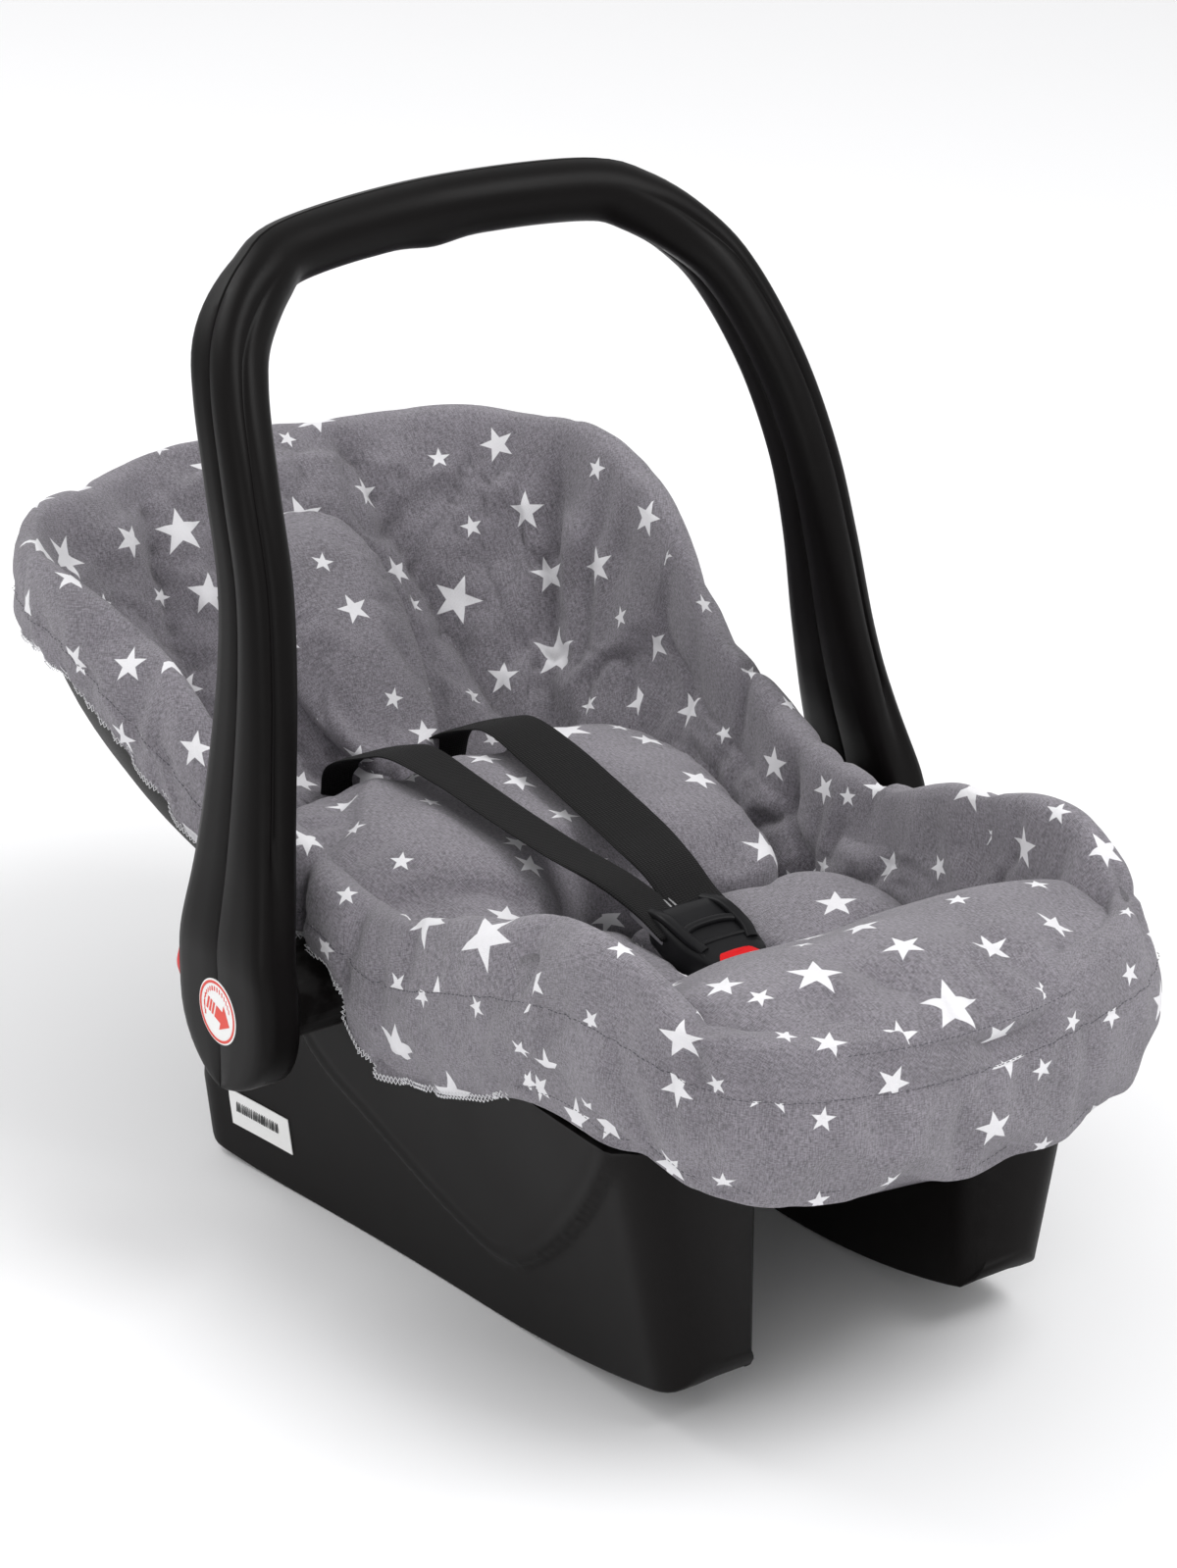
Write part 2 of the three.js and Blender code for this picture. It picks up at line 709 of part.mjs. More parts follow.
function makeCrotchStrap() {
  const route = [
    V(0, crotchPoint.y + 1, crotchPoint.z - 16),
    V(0, crotchPoint.y, crotchPoint.z + 4),
    V(0, crotchPoint.y - 8, crotchPoint.z + 28),
    onBuckle(0, -buckle.length / 2 - 8, -3.5),
    onBuckle(0, -buckle.length / 2 - 2, -3.5),
    onBuckle(0, -buckle.length / 2 + 10, -3.5),
  ];
  return ribbon(route, V(1, 0, 0), strapWidth - 2, strapThick, 12);
}

// ---------------------------------------------------------------- assembly

add("seat_bucket", makeBucket(), blackShell);
const rightRocker = makeRocker();
add("rocker_side_right", rightRocker, blackShell);
add("rocker_side_left", mirrored(rightRocker), blackShell);

add("handle_front_half", makeHandle(true), blackHandle);
add("handle_rear_half", makeHandle(false), blackHandle);

for (const [where, side] of [["left", -1], ["right", 1]]) {
  add(`pivot_housing_${where}`, makeHousing(side), blackShell);
  add(`pivot_pin_${where}`, makePin(side), steel);
  add(`label_${where}`, makeLabel(side), paper);
  add(`release_button_${where}`, makeReleaseButton(side), redPlastic);
  add(`lock_pin_${where}`, makeLockPin(side), steel);
  add(`shoulder_strap_${where}`, makeShoulderStrap(side), webbing);
  add(`buckle_tongue_${where}`, tongueBlock(side, 0), steel);
  screwPlaces.forEach((at, i) => add(`rocker_screw_${where}_${i + 1}`, makeScrew(side, at), steel));
}
add("barcode_sticker", makeBarcode(), paper);

add("buckle_body", makeBuckleBody(), blackShell);
add("buckle_button", buckleButtonBlock(0, 0), redPlastic);
add("crotch_strap", makeCrotchStrap(), webbing);

const shellRoom = bucketShell(gap);
const panel = (from, to, count) =>
  coverPanel(atStation(from + 0.02), atStation(to - 0.02), count)
    .subtract(shellRoom)
    .subtract(housingSpace(-1))
    .subtract(housingSpace(1));
add("cover_head", panel(-5, 5, 20), greyFabric);
add("cover_side_right", panel(5, 10, 12), greyFabric);
add("cover_foot", panel(10, 18, 18), greyFabric);
add("cover_side_left", panel(18, 23, 12), greyFabric);

const pad = (from, to, s0, s1, thick, countU, countS) =>
  facePad(atStation(from + 0.06), atStation(to - 0.06), s0, s1, thick, countU, countS).subtract(shellRoom);
add("back_pad", pad(-2, 2, 0.44, 0.82, 20, 8, 6), greyFabric);
add("bolster_right", pad(2, 7, 0.35, 0.82, 40, 12, 6), greyFabric);
add("bolster_left", pad(21, 26, 0.35, 0.82, 40, 12, 6), greyFabric);
add("thigh_pad_right", pad(7, 11, 0.35, 0.82, 24, 8, 5), greyFabric);
add("thigh_pad_left", pad(17, 21, 0.35, 0.82, 24, 8, 5), greyFabric);
add("leg_pad", pad(11, 17, 0.36, 0.82, 40, 10, 6), greyFabric);
const seatCushion = makeSeatCushion().subtract(shellRoom).subtract(shoulderSlots).subtract(crotchOpening);
add("seat_cushion", seatCushion, greyFabric);

const bounds = new THREE.Box3().setFromObject(root);
root.position.set(0, -(bounds.min.y + bounds.max.y) / 2, -bounds.min.z);

export default root;
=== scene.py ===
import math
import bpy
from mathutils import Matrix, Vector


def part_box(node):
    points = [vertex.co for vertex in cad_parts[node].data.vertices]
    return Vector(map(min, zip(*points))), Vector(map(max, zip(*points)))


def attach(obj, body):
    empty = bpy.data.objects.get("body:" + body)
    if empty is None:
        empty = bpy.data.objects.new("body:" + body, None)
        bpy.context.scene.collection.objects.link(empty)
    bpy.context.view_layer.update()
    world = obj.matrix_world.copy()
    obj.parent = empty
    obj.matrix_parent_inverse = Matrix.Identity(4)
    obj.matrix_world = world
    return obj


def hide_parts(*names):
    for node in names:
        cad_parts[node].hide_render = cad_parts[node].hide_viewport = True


bl_info = {
    "name": "Infant carrier seat",
    "version": (1, 0, 0),
    "blender": (4, 5, 0),
    "location": "View3D > Sidebar > Carrier Seat",
    "description": "Builds the finish of an infant carrier seat round its fixed solids",
    "category": "Object",
}

import bmesh
import bpy
import numpy as np
from mathutils import Vector
from mathutils.bvhtree import BVHTree
from mathutils.kdtree import KDTree

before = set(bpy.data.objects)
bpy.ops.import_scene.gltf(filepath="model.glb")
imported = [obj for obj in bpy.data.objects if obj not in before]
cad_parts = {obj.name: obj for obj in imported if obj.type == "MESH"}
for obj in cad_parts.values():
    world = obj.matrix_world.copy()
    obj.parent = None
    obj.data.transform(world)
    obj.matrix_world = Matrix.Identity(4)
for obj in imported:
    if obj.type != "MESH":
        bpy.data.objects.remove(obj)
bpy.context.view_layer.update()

# ------------------------------------------------------------------ sizes shared with the solids, in mm

low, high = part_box("label_left")
PIVOT_Y = 22.0
PIVOT_Z = (low.z + high.z) * 500
SHIFT_Y = (low.y + high.y) * 500 - PIVOT_Y  # from the drawing's y to the frame's y
HUB_FACE = -low.x * 1000

RIM = [
    (0, 358, 311), (70, 351, 310), (130, 327, 308), (166, 280, 305), (175, 215, 300),
    (168, 150, 273), (156, 85, 236), (150, 22, 211), (147, -45, 208), (144, -110, 228),
    (140, -175, 248), (135, -232, 253), (114, -292, 242), (56, -311, 236), (0, -313, 233),
]
KEEL_HEAD = (95, 128)
KEEL_FOOT = (-70, 108)
BUCKET_WALL = 4.0
LIP_OUT = 8.0
LIP_DROP = 7.0
HEM = [(-330, 80), (-110, 78), (-40, 74), (0, 27), (50, 27), (95, 42), (215, 32), (360, 30)]
CUSHION_REACH = 0.3
CUSHION_SIDE = 0.3

ARM = [
    (201, 23, 196, 80), (193, 26, 232, 68), (185, 30, 276, 56), (178, 34, 327, 46), (172, 43, 374, 40),
    (166, 63, 419, 37), (156, 88, 459, 35), (143, 106, 482, 34), (118, 122, 502, 34), (88, 135, 511, 34),
]
GRIP_MIDDLE = (0, 146, 513, 34)
HUB_RADIUS = 43.0
HUB_CENTRE_X = 202.0
HUB_THICKNESS = 26.0

ROCKER = {
    "flat_front": -70, "flat_rear": 80, "radius": 560, "front": -246, "rear": 166, "inner": 66,
    "foot": 113, "rear_foot": 147, "top": 147, "rear_top": 166, "height": 168, "lean": 0.37, "lean_from": 46,
    "corner": 22, "wall": 4,
}


def lerp(a, b, t):
    """The value a share t of the way from a to b."""
    return a + (b - a) * t


def smooth(a, b, x):
    """An eased share of the way from a to b, 0 before it and 1 after it."""
    t = np.clip((x - a) / (b - a), 0, 1)
    return t * t * (3 - 2 * t)


def along(table, x):
    """Straight-line reading of a two-column table."""
    places = [row[0] for row in table]
    values = [row[1] for row in table]
    order = np.argsort(places)
    return np.interp(x, np.array(places, float)[order], np.array(values, float)[order])


# ------------------------------------------------------------------ the bucket's surface

RIGHT_SIDE = np.array(RIM, float)
LEFT_SIDE = RIGHT_SIDE[1:-1][::-1] * (-1, 1, 1)
RIM_POINTS = np.vstack([RIGHT_SIDE, LEFT_SIDE])
STATIONS = len(RIM_POINTS)


def rim_at(u):
    """Points of the closed rim line for shares u of the way round, from the head by the right side."""
    place = np.mod(u, 1.0) * STATIONS
    i = np.floor(place).astype(int) % STATIONS
    t = (place - np.floor(place))[..., None]
    p0, p1, p2, p3 = (RIM_POINTS[(i + k) % STATIONS] for k in (-1, 0, 1, 2))
    return 0.5 * (2 * p1 + (p2 - p0) * t + (2 * p0 - 5 * p1 + 4 * p2 - p3) * t**2
                  + (3 * p1 - p0 - 3 * p2 + p3) * t**3)


def outward_at(u):
    side = rim_at(u + 0.004) - rim_at(u - 0.004)
    out = np.stack([-side[..., 1], side[..., 0], np.zeros_like(side[..., 0])], -1)
    return out / np.linalg.norm(out, axis=-1, keepdims=True)


def keel_under(rim):
    y = np.clip(rim[..., 1] * 0.8, KEEL_FOOT[0], KEEL_HEAD[0])
    share = (y - KEEL_FOOT[0]) / (KEEL_HEAD[0] - KEEL_FOOT[0])
    z = KEEL_FOOT[1] + (KEEL_HEAD[1] - KEEL_FOOT[1]) * share**2
    return np.stack([np.zeros_like(y), y, z], -1)


def bowl_face(u, s):
    """Points of the bowl's inner face, for shares u round the rim and s from the keel to the rim."""
    rim = rim_at(u)
    keel = keel_under(rim)
    reach = rim - keel
    sideways = (np.abs(reach[..., 0]) / np.hypot(reach[..., 0], reach[..., 1])) ** 1.5
    power = 2 / (1.15 + (2.6 - 1.15) * sideways)
    out = np.sin(s * np.pi / 2) ** power
    up = 1 - np.maximum(np.cos(s * np.pi / 2), 0) ** power
    return np.stack([reach[..., 0] * out, keel[..., 1] + reach[..., 1] * out,
                     keel[..., 2] + reach[..., 2] * up], -1)


def bowl_normal(u, s):
    at = np.clip(s, 0.04, 0.97)
    du = bowl_face(u + 0.003, at) - bowl_face(u - 0.003, at)
    ds = bowl_face(u, at + 0.02) - bowl_face(u, at - 0.02)
    normal = np.cross(du, ds)
    normal /= np.linalg.norm(normal, axis=-1, keepdims=True)
    normal[normal[..., 2] < 0] *= -1
    return normal


def bowl(u, s, lift):
    """Points that stand `lift` off the inner face of the bowl."""
    lift = np.asarray(lift)[..., None] if np.ndim(lift) else lift
    return bowl_face(u, s) + bowl_normal(u, s) * lift


def rim_point(u, out, up):
    """Points `out` outside the rim and `up` above it."""
    out = np.asarray(out)[..., None] if np.ndim(out) else out
    point = rim_at(u) + outward_at(u) * out
    point[..., 2] += up
    return point


def cushion_edge(u):
    rim = rim_at(u)
    keel = keel_under(rim)
    sideways = np.abs(rim[..., 0]) / np.hypot(rim[..., 0], rim[..., 1] - keel[..., 1])
    return CUSHION_REACH + CUSHION_SIDE * sideways**3


# ------------------------------------------------------------------ small repeatable noise


def wave(x, y, seed, scale):
    """Smooth repeatable noise from a few turned sine waves, about -1 to 1."""
    rng = np.random.default_rng(seed)
    total = np.zeros(np.broadcast(x, y).shape)
    for _ in range(7):
        turn = rng.uniform(0, 2 * np.pi)
        rate = rng.uniform(0.6, 1.7) * 2 * np.pi / scale
        total += np.sin((x * np.cos(turn) + y * np.sin(turn)) * rate + rng.uniform(0, 2 * np.pi))
    return total / 3.2


# ------------------------------------------------------------------ meshes


def to_frame(points):
    """Drawing millimetres to the frame's metres."""
    points = np.asarray(points, float).reshape(-1, 3)
    return (points + (0, SHIFT_Y, 0)) / 1000


def mesh_object(name, points, faces, material, shade=True):
    """A mesh object from points in millimetres of the drawing."""
    mesh = bpy.data.meshes.new(name)
    mesh.from_pydata(to_frame(points).tolist(), [], [tuple(int(i) for i in f) for f in faces])
    mesh.validate()
    bm = bmesh.new()
    bm.from_mesh(mesh)
    bmesh.ops.remove_doubles(bm, verts=bm.verts, dist=1e-6)
    if bm.calc_volume(signed=True) < 0:
        bmesh.ops.reverse_faces(bm, faces=bm.faces)
    bm.to_mesh(mesh)
    bm.free()
    mesh.polygons.foreach_set("use_smooth", [shade] * len(mesh.polygons))
    piece = bpy.data.objects.new(name, mesh)
    bpy.context.scene.collection.objects.link(piece)
    if material:
        mesh.materials.append(material)
    return piece


def grid_faces(rows, columns, close_rows=False, close_columns=True):
    """Four-sided faces between rows of points, closed round where asked."""
    faces = []
    last_row = rows if close_rows else rows - 1
    last_column = columns if close_columns else columns - 1
    for i in range(last_row):
        for j in range(last_column):
            a, b = i, (i + 1) % rows
            c, d = j, (j + 1) % columns
            faces.append((a * columns + c, a * columns + d, b * columns + d, b * columns + c))
    return faces


def loft_points(rings):
    """Points and faces of rings of equal length, with both ends closed by a fan."""
    rings = np.asarray(rings, float)
    count, size = rings.shape[:2]
    faces = grid_faces(count, size)
    points = rings.reshape(-1, 3)
    for ring, first in ((0, True), (count - 1, False)):
        middle = len(points)
        points = np.vstack([points, rings[ring].mean(0)])
        for j in range(size):
            k = (j + 1) % size
            a, b = ring * size + j, ring * size + k
            faces.append((middle, b, a) if first else (middle, a, b))
    return points, faces


def loft_object(name, rings, material, shade=True):
    points, faces = loft_points(rings)
    return mesh_object(name, points, faces, material, shade)


def modifier(piece, kind, **values):
    """Adds a modifier with its settings."""
    made = piece.modifiers.new(kind.lower(), kind)
    for key, value in values.items():
        setattr(made, key, value)
    return made


def flatten(piece):
    """Makes the piece's modifiers part of its mesh."""
    depsgraph = bpy.context.evaluated_depsgraph_get()
    mesh = bpy.data.meshes.new_from_object(piece.evaluated_get(depsgraph), depsgraph=depsgraph)
    piece.modifiers.clear()
    old = piece.data
    piece.data = mesh
    bpy.data.meshes.remove(old)
    return piece


def smoothed_edges(piece, angle=40):
    """Smooth shading with sharp edges kept where faces meet at more than the angle."""
    bm = bmesh.new()
    bm.from_mesh(piece.data)
    for edge in bm.edges:
        edge.smooth = not (len(edge.link_faces) == 2 and edge.calc_face_angle(0) > math.radians(angle))
    bm.to_mesh(piece.data)
    bm.free()
    return piece


def join(name, pieces):
    """One mesh out of several objects that share a place in the world."""
    bm = bmesh.new()
    materials = []
    for piece in pieces:
        start = len(bm.faces)
        bm.from_mesh(piece.data)
        bm.faces.ensure_lookup_table()
        slots = [m for m in piece.data.materials]
        for m in slots:
            if m not in materials:
                materials.append(m)
        for face in bm.faces[start:]:
            face.material_index = materials.index(slots[face.material_index]) if slots else 0
    mesh = bpy.data.meshes.new(name)
    bm.to_mesh(mesh)
    bm.free()
    for m in materials:
        mesh.materials.append(m)
    for piece in pieces:
        bpy.data.objects.remove(piece)
    made = bpy.data.objects.new(name, mesh)
    bpy.context.scene.collection.objects.link(made)
    return made


def swept(path, across, width, thickness, sides=12, squareness=0.35):
    """Rings of a flat rounded band along a path; `across` is the direction of its width."""
    path = np.asarray(path, float)
    tangent = np.gradient(path, axis=0)
    tangent /= np.linalg.norm(tangent, axis=1, keepdims=True)
    across = np.broadcast_to(np.asarray(across, float), path.shape)
    wide = across - tangent * np.sum(across * tangent, 1, keepdims=True)
    wide /= np.linalg.norm(wide, axis=1, keepdims=True)
    thin = np.cross(tangent, wide)
    width = np.broadcast_to(width, len(path))
    thickness = np.broadcast_to(thickness, len(path))
    turn = np.linspace(0, 2 * np.pi, sides, endpoint=False)
    c = np.sign(np.cos(turn)) * np.abs(np.cos(turn)) ** squareness
    s = np.sign(np.sin(turn)) * np.abs(np.sin(turn)) ** 0.8
    return (path[:, None] + wide[:, None] * (c[None, :, None] * width[:, None, None] / 2)
            + thin[:, None] * (s[None, :, None] * thickness[:, None, None] / 2))


def spline(points, count):
    """Evenly spaced points on a smooth line through the given ones."""
    p = np.asarray(points, float)
    full = np.vstack([2 * p[0] - p[1], p, 2 * p[-1] - p[-2]])
    fine = []
    for i in range(1, len(full) - 2):
        t = np.linspace(0, 1, 24, endpoint=False)[:, None]
        p0, p1, p2, p3 = full[i - 1:i + 3]
        fine.append(0.5 * (2 * p1 + (p2 - p0) * t + (2 * p0 - 5 * p1 + 4 * p2 - p3) * t**2
                           + (3 * p1 - p0 - 3 * p2 + p3) * t**3))
    fine = np.vstack(fine + [full[-2:-1]])
    step = np.linalg.norm(np.diff(fine[:, :3], axis=0), axis=1)
    length = np.concatenate([[0], np.cumsum(step)])
    want = np.linspace(0, length[-1], count)
    return np.stack([np.interp(want, length, fine[:, k]) for k in range(p.shape[1])], 1)


# ------------------------------------------------------------------ shader groups and materials


class Nodes:
    """A short way to write a node tree: calls make nodes and take numbers or sockets as inputs."""

    def __init__(self, tree):
        self.tree = tree

    def add(self, kind, **settings):
        node = self.tree.nodes.new(kind)
        for key, value in settings.items():
            setattr(node, key, value)
        return node

    def put(self, socket, value):
        if isinstance(value, bpy.types.NodeSocket):
            self.tree.links.new(value, socket)
        elif value is not None:
            socket.default_value = value

    def math(self, operation, a, b=None, c=None, clamp=False):
        node = self.add("ShaderNodeMath", operation=operation, use_clamp=clamp)
        for socket, value in zip(node.inputs, (a, b, c)):
            self.put(socket, value)
        return node.outputs[0]

    def vector(self, operation, a, b=None, scale=None):
        node = self.add("ShaderNodeVectorMath", operation=operation)
        self.put(node.inputs[0], a)
        self.put(node.inputs[1], b)
        if scale is not None:
            self.put(node.inputs["Scale"], scale)
        return node.outputs["Value" if operation in ("LENGTH", "DOT_PRODUCT", "DISTANCE") else 0]

    def noise(self, vector, scale, detail=2.0, roughness=0.5):
        node = self.add("ShaderNodeTexNoise")
        self.put(node.inputs["Vector"], vector)
        self.put(node.inputs["Scale"], scale)
        node.inputs["Detail"].default_value = detail
        node.inputs["Roughness"].default_value = roughness
        return node.outputs["Fac"]

    def range(self, value, low, high, to_low=0.0, to_high=1.0):
        node = self.add("ShaderNodeMapRange", clamp=True, interpolation_type="SMOOTHSTEP")
        self.put(node.inputs[0], value)
        for socket, number in zip(node.inputs[1:5], (low, high, to_low, to_high)):
            self.put(socket, number)
        return node.outputs[0]

    def mix(self, factor, a, b):
        node = self.add("ShaderNodeMix", data_type="RGBA")
        self.put(node.inputs[0], factor)
        self.put(node.inputs[6], a)
        self.put(node.inputs[7], b)
        return node.outputs[2]


def node_group(name, inputs, outputs):
    """An empty shader group with sockets given as (name, kind, default)."""
    tree = bpy.data.node_groups.new(name, "ShaderNodeTree")
    for label, kind, default in inputs:
        socket = tree.interface.new_socket(label, in_out="INPUT", socket_type=kind)
        if default is not None:
            socket.default_value = default
    for label, kind in outputs:
        tree.interface.new_socket(label, in_out="OUTPUT", socket_type=kind)
    nodes = Nodes(tree)
    return tree, nodes, nodes.add("NodeGroupInput").outputs, nodes.add("NodeGroupOutput").inputs


def star_print_group():
    """White five-pointed stars of several sizes, scattered and turned, on a plane map in metres."""
    tree, n, given, result = node_group(
        "Star Print",
        [("Map", "NodeSocketVector", None), ("Spacing", "NodeSocketFloat", 0.043),
         ("Largest", "NodeSocketFloat", 0.0158), ("Smallest", "NodeSocketFloat", 0.0066)],
        [("Mask", "NodeSocketFloat")],
    )
    cells = n.vector("SCALE", given["Map"], scale=n.math("DIVIDE", 1.0, given["Spacing"]))
    near = n.add("ShaderNodeTexVoronoi", voronoi_dimensions="2D", feature="F1")
    room = n.add("ShaderNodeTexVoronoi", voronoi_dimensions="2D", feature="N_SPHERE_RADIUS")
    for node in (near, room):
        n.put(node.inputs["Vector"], cells)
        node.inputs["Scale"].default_value = 1.0
        node.inputs["Randomness"].default_value = 0.62
    centre = near.outputs["Position"]
    picks = n.add("ShaderNodeSeparateColor")
    n.put(picks.inputs[0], near.outputs["Color"])
    size = n.math("GREATER_THAN", picks.outputs[1], 0.70)
    size = n.math("ADD", size, n.math("MULTIPLY", n.math("GREATER_THAN", picks.outputs[1], 0.42), 0.7))
    share = n.math("DIVIDE", size, 1.7)
    wanted = n.math("ADD", given["Smallest"],
                    n.math("MULTIPLY", share, n.math("SUBTRACT", given["Largest"], given["Smallest"])))
    wanted = n.math("DIVIDE", wanted, given["Spacing"])
    radius = n.math("MINIMUM", wanted, n.math("MULTIPLY", room.outputs["Radius"], 0.93))
    away = n.vector("SUBTRACT", cells, centre)
    flat = n.add("ShaderNodeSeparateXYZ")
    n.put(flat.inputs[0], away)
    turn = n.math("ADD", n.math("ARCTAN2", flat.outputs[1], flat.outputs[0]),
                  n.math("MULTIPLY", picks.outputs[0], 6.2832))
    fifth = 2 * math.pi / 5
    folded = n.math("SUBTRACT", n.math("FLOORED_MODULO", turn, fifth), fifth / 2)
    folded = n.math("SUBTRACT", fifth / 2, n.math("ABSOLUTE", folded))
    distance = n.math("SQRT", n.math("ADD", n.math("MULTIPLY", flat.outputs[0], flat.outputs[0]),
                                     n.math("MULTIPLY", flat.outputs[1], flat.outputs[1])))
    x = n.math("MULTIPLY", distance, n.math("COSINE", folded))
    y = n.math("MULTIPLY", distance, n.math("SINE", folded))
    notch = 0.40
    bx, by = notch * math.cos(math.pi / 5), notch * math.sin(math.pi / 5)
    edge = n.math("ADD", n.math("MULTIPLY", n.math("SUBTRACT", x, radius), by),
                  n.math("MULTIPLY", y, 1 - bx))
    soft = n.math("MULTIPLY", n.math("MULTIPLY", edge, -1.0), given["Spacing"])
    n.put(result["Mask"], n.range(soft, -0.00006, 0.00022))
    return tree


def weave_group():
    """Threads over and under each other on a plane map in metres: height, and a light and dark fleck."""
    tree, n, given, result = node_group(
        "Weave",
        [("Map", "NodeSocketVector", None), ("Thread", "NodeSocketFloat", 0.0006),
         ("Fleck", "NodeSocketFloat", 1.0)],
        [("Height", "NodeSocketFloat"), ("Fleck", "NodeSocketFloat")],
    )
    threads = n.vector("SCALE", given["Map"], scale=n.math("DIVIDE", math.pi, given["Thread"]))
    flat = n.add("ShaderNodeSeparateXYZ")
    n.put(flat.inputs[0], threads)
    over = n.math("MULTIPLY", n.math("SINE", flat.outputs[0]), n.math("SINE", flat.outputs[1]))
    n.put(result["Height"], n.math("ABSOLUTE", over))
    stretch = n.vector("MULTIPLY", given["Map"], (260.0, 1500.0, 1.0))
    across = n.noise(stretch, 1.0, 3.0, 0.6)
    stretch = n.vector("MULTIPLY", given["Map"], (1500.0, 420.0, 1.0))
    down = n.noise(stretch, 1.0, 2.0, 0.6)
    both = n.math("SUBTRACT", n.math("ADD", across, down), 1.0)
    n.put(result["Fleck"], n.math("MULTIPLY", both, given["Fleck"]))
    return tree


def grain_group():
    """Fine moulded grain with faint scuffs, on object coordinates in metres."""
    tree, n, given, result = node_group(
        "Moulded Grain",
        [("Place", "NodeSocketVector", None), ("Grain", "NodeSocketFloat", 2200.0),
         ("Scuffs", "NodeSocketFloat", 0.3)],
        [("Height", "NodeSocketFloat"), ("Scuff", "NodeSocketFloat"), ("Shade", "NodeSocketFloat")],
    )
    n.put(result["Height"], n.noise(given["Place"], given["Grain"], 2.0, 0.6))
    streaks = n.vector("MULTIPLY", given["Place"], (60.0, 24.0, 150.0))
    lines = n.noise(streaks, 4.0, 5.0, 0.75)
    patches = n.noise(given["Place"], 9.0, 2.0, 0.5)
    marks = n.math("MULTIPLY", n.range(lines, 0.60, 0.74), n.range(patches, 0.5, 0.68))
    n.put(result["Scuff"], n.math("MULTIPLY", marks, given["Scuffs"]))
    n.put(result["Shade"], n.noise(given["Place"], 14.0, 3.0, 0.5))
    return tree


def cavity_group():
    """Painted shade: a factor that darkens the colour down in folds and seams, where shade falls."""
    tree, n, given, result = node_group("Cavity Shade", [("Depth", "NodeSocketFloat", 0.3)],
                                        [("Shade", "NodeSocketFloat")])
    point = n.add("ShaderNodeNewGeometry").outputs["Pointiness"]
    hollow = n.range(point, 0.40, 0.50, 1.0, 0.0)
    n.put(result["Shade"], n.math("SUBTRACT", 1.0, n.math("MULTIPLY", hollow, given["Depth"])))
    return tree


def edge_wear_group():
    """A mask that is bright along worn outer edges."""
    tree, n, given, result = node_group(
        "Edge Wear", [("Place", "NodeSocketVector", None), ("Amount", "NodeSocketFloat", 0.5)],
        [("Wear", "NodeSocketFloat")]
    )
    point = n.add("ShaderNodeNewGeometry").outputs["Pointiness"]
    edge = n.range(point, 0.52, 0.62)
    patchy = n.range(n.noise(given["Place"], 60.0, 3.0, 0.6), 0.42, 0.62)
    n.put(result["Wear"], n.math("MULTIPLY", n.math("MULTIPLY", edge, patchy), given["Amount"]))
    return tree


GROUPS = {}


def group(n, name, **values):
    """A node of the named shader group, made once and shared."""
    made = {"Star Print": star_print_group, "Weave": weave_group, "Moulded Grain": grain_group,
            "Edge Wear": edge_wear_group, "Cavity Shade": cavity_group}
    if name not in GROUPS:
        GROUPS[name] = made[name]()
    node = n.add("ShaderNodeGroup")
    node.node_tree = GROUPS[name]
    for key, value in values.items():
        n.put(node.inputs[key], value)
    return node.outputs


def new_material(name):
    """An empty material with its shader."""
    material = bpy.data.materials.new(name)
    material.use_nodes = True
    tree = material.node_tree
    tree.nodes.clear()
    n = Nodes(tree)
    shader = n.add("ShaderNodeBsdfPrincipled")
    n.put(n.add("ShaderNodeOutputMaterial").inputs[0], shader.outputs[0])
    return material, n, shader.inputs


def bump(n, height, distance, strength=1.0):
    node = n.add("ShaderNodeBump")
    node.inputs["Strength"].default_value = strength
    node.inputs["Distance"].default_value = distance
    n.put(node.inputs["Height"], height)
    return node.outputs[0]


def colour(values):
    return (values[0], values[1], values[2], 1.0)


def fabric_material(name, base, star):
    """Heather grey weave with printed stars, on the cloth map."""
    material, n, out = new_material(name)
    place = n.add("ShaderNodeUVMap", uv_map="cloth").outputs[0]
    stars = group(n, "Star Print", Map=place)["Mask"]
    weave = group(n, "Weave", Map=place, Thread=0.0007, Fleck=1.0)
    dark, light = colour([v * 0.58 for v in base]), colour([v * 1.48 for v in base])
    tint = n.add("ShaderNodeTexCoord").outputs["Object"]
    mottled = n.math("ADD", weave["Fleck"],
                     n.math("MULTIPLY", n.math("SUBTRACT", n.noise(tint, 30.0, 3.0), 0.5), 0.25))
    ground = n.mix(n.math("ADD", n.math("MULTIPLY", mottled, 2.2), 0.5, clamp=True), dark, light)
    ink = n.mix(n.math("ADD", n.math("MULTIPLY", weave["Fleck"], 0.9), 0.6, clamp=True),
                colour([v * 0.9 for v in star]), colour(star))
    # Painted shade: the cloth's ground and print are darkened in folds and seams by the Cavity Shade group.
    shade = group(n, "Cavity Shade", Depth=0.55)["Shade"]
    n.put(out["Base Color"], n.vector("SCALE", n.mix(stars, ground, ink), scale=shade))
    out["Roughness"].default_value = 0.93
    out["Sheen Weight"].default_value = 0.25
    out["Sheen Roughness"].default_value = 0.5
    out["Specular IOR Level"].default_value = 0.25
    n.put(out["Normal"], bump(n, n.math("ADD", weave["Height"], n.math("MULTIPLY", weave["Fleck"], 0.8)),
                              0.00022))
    return material


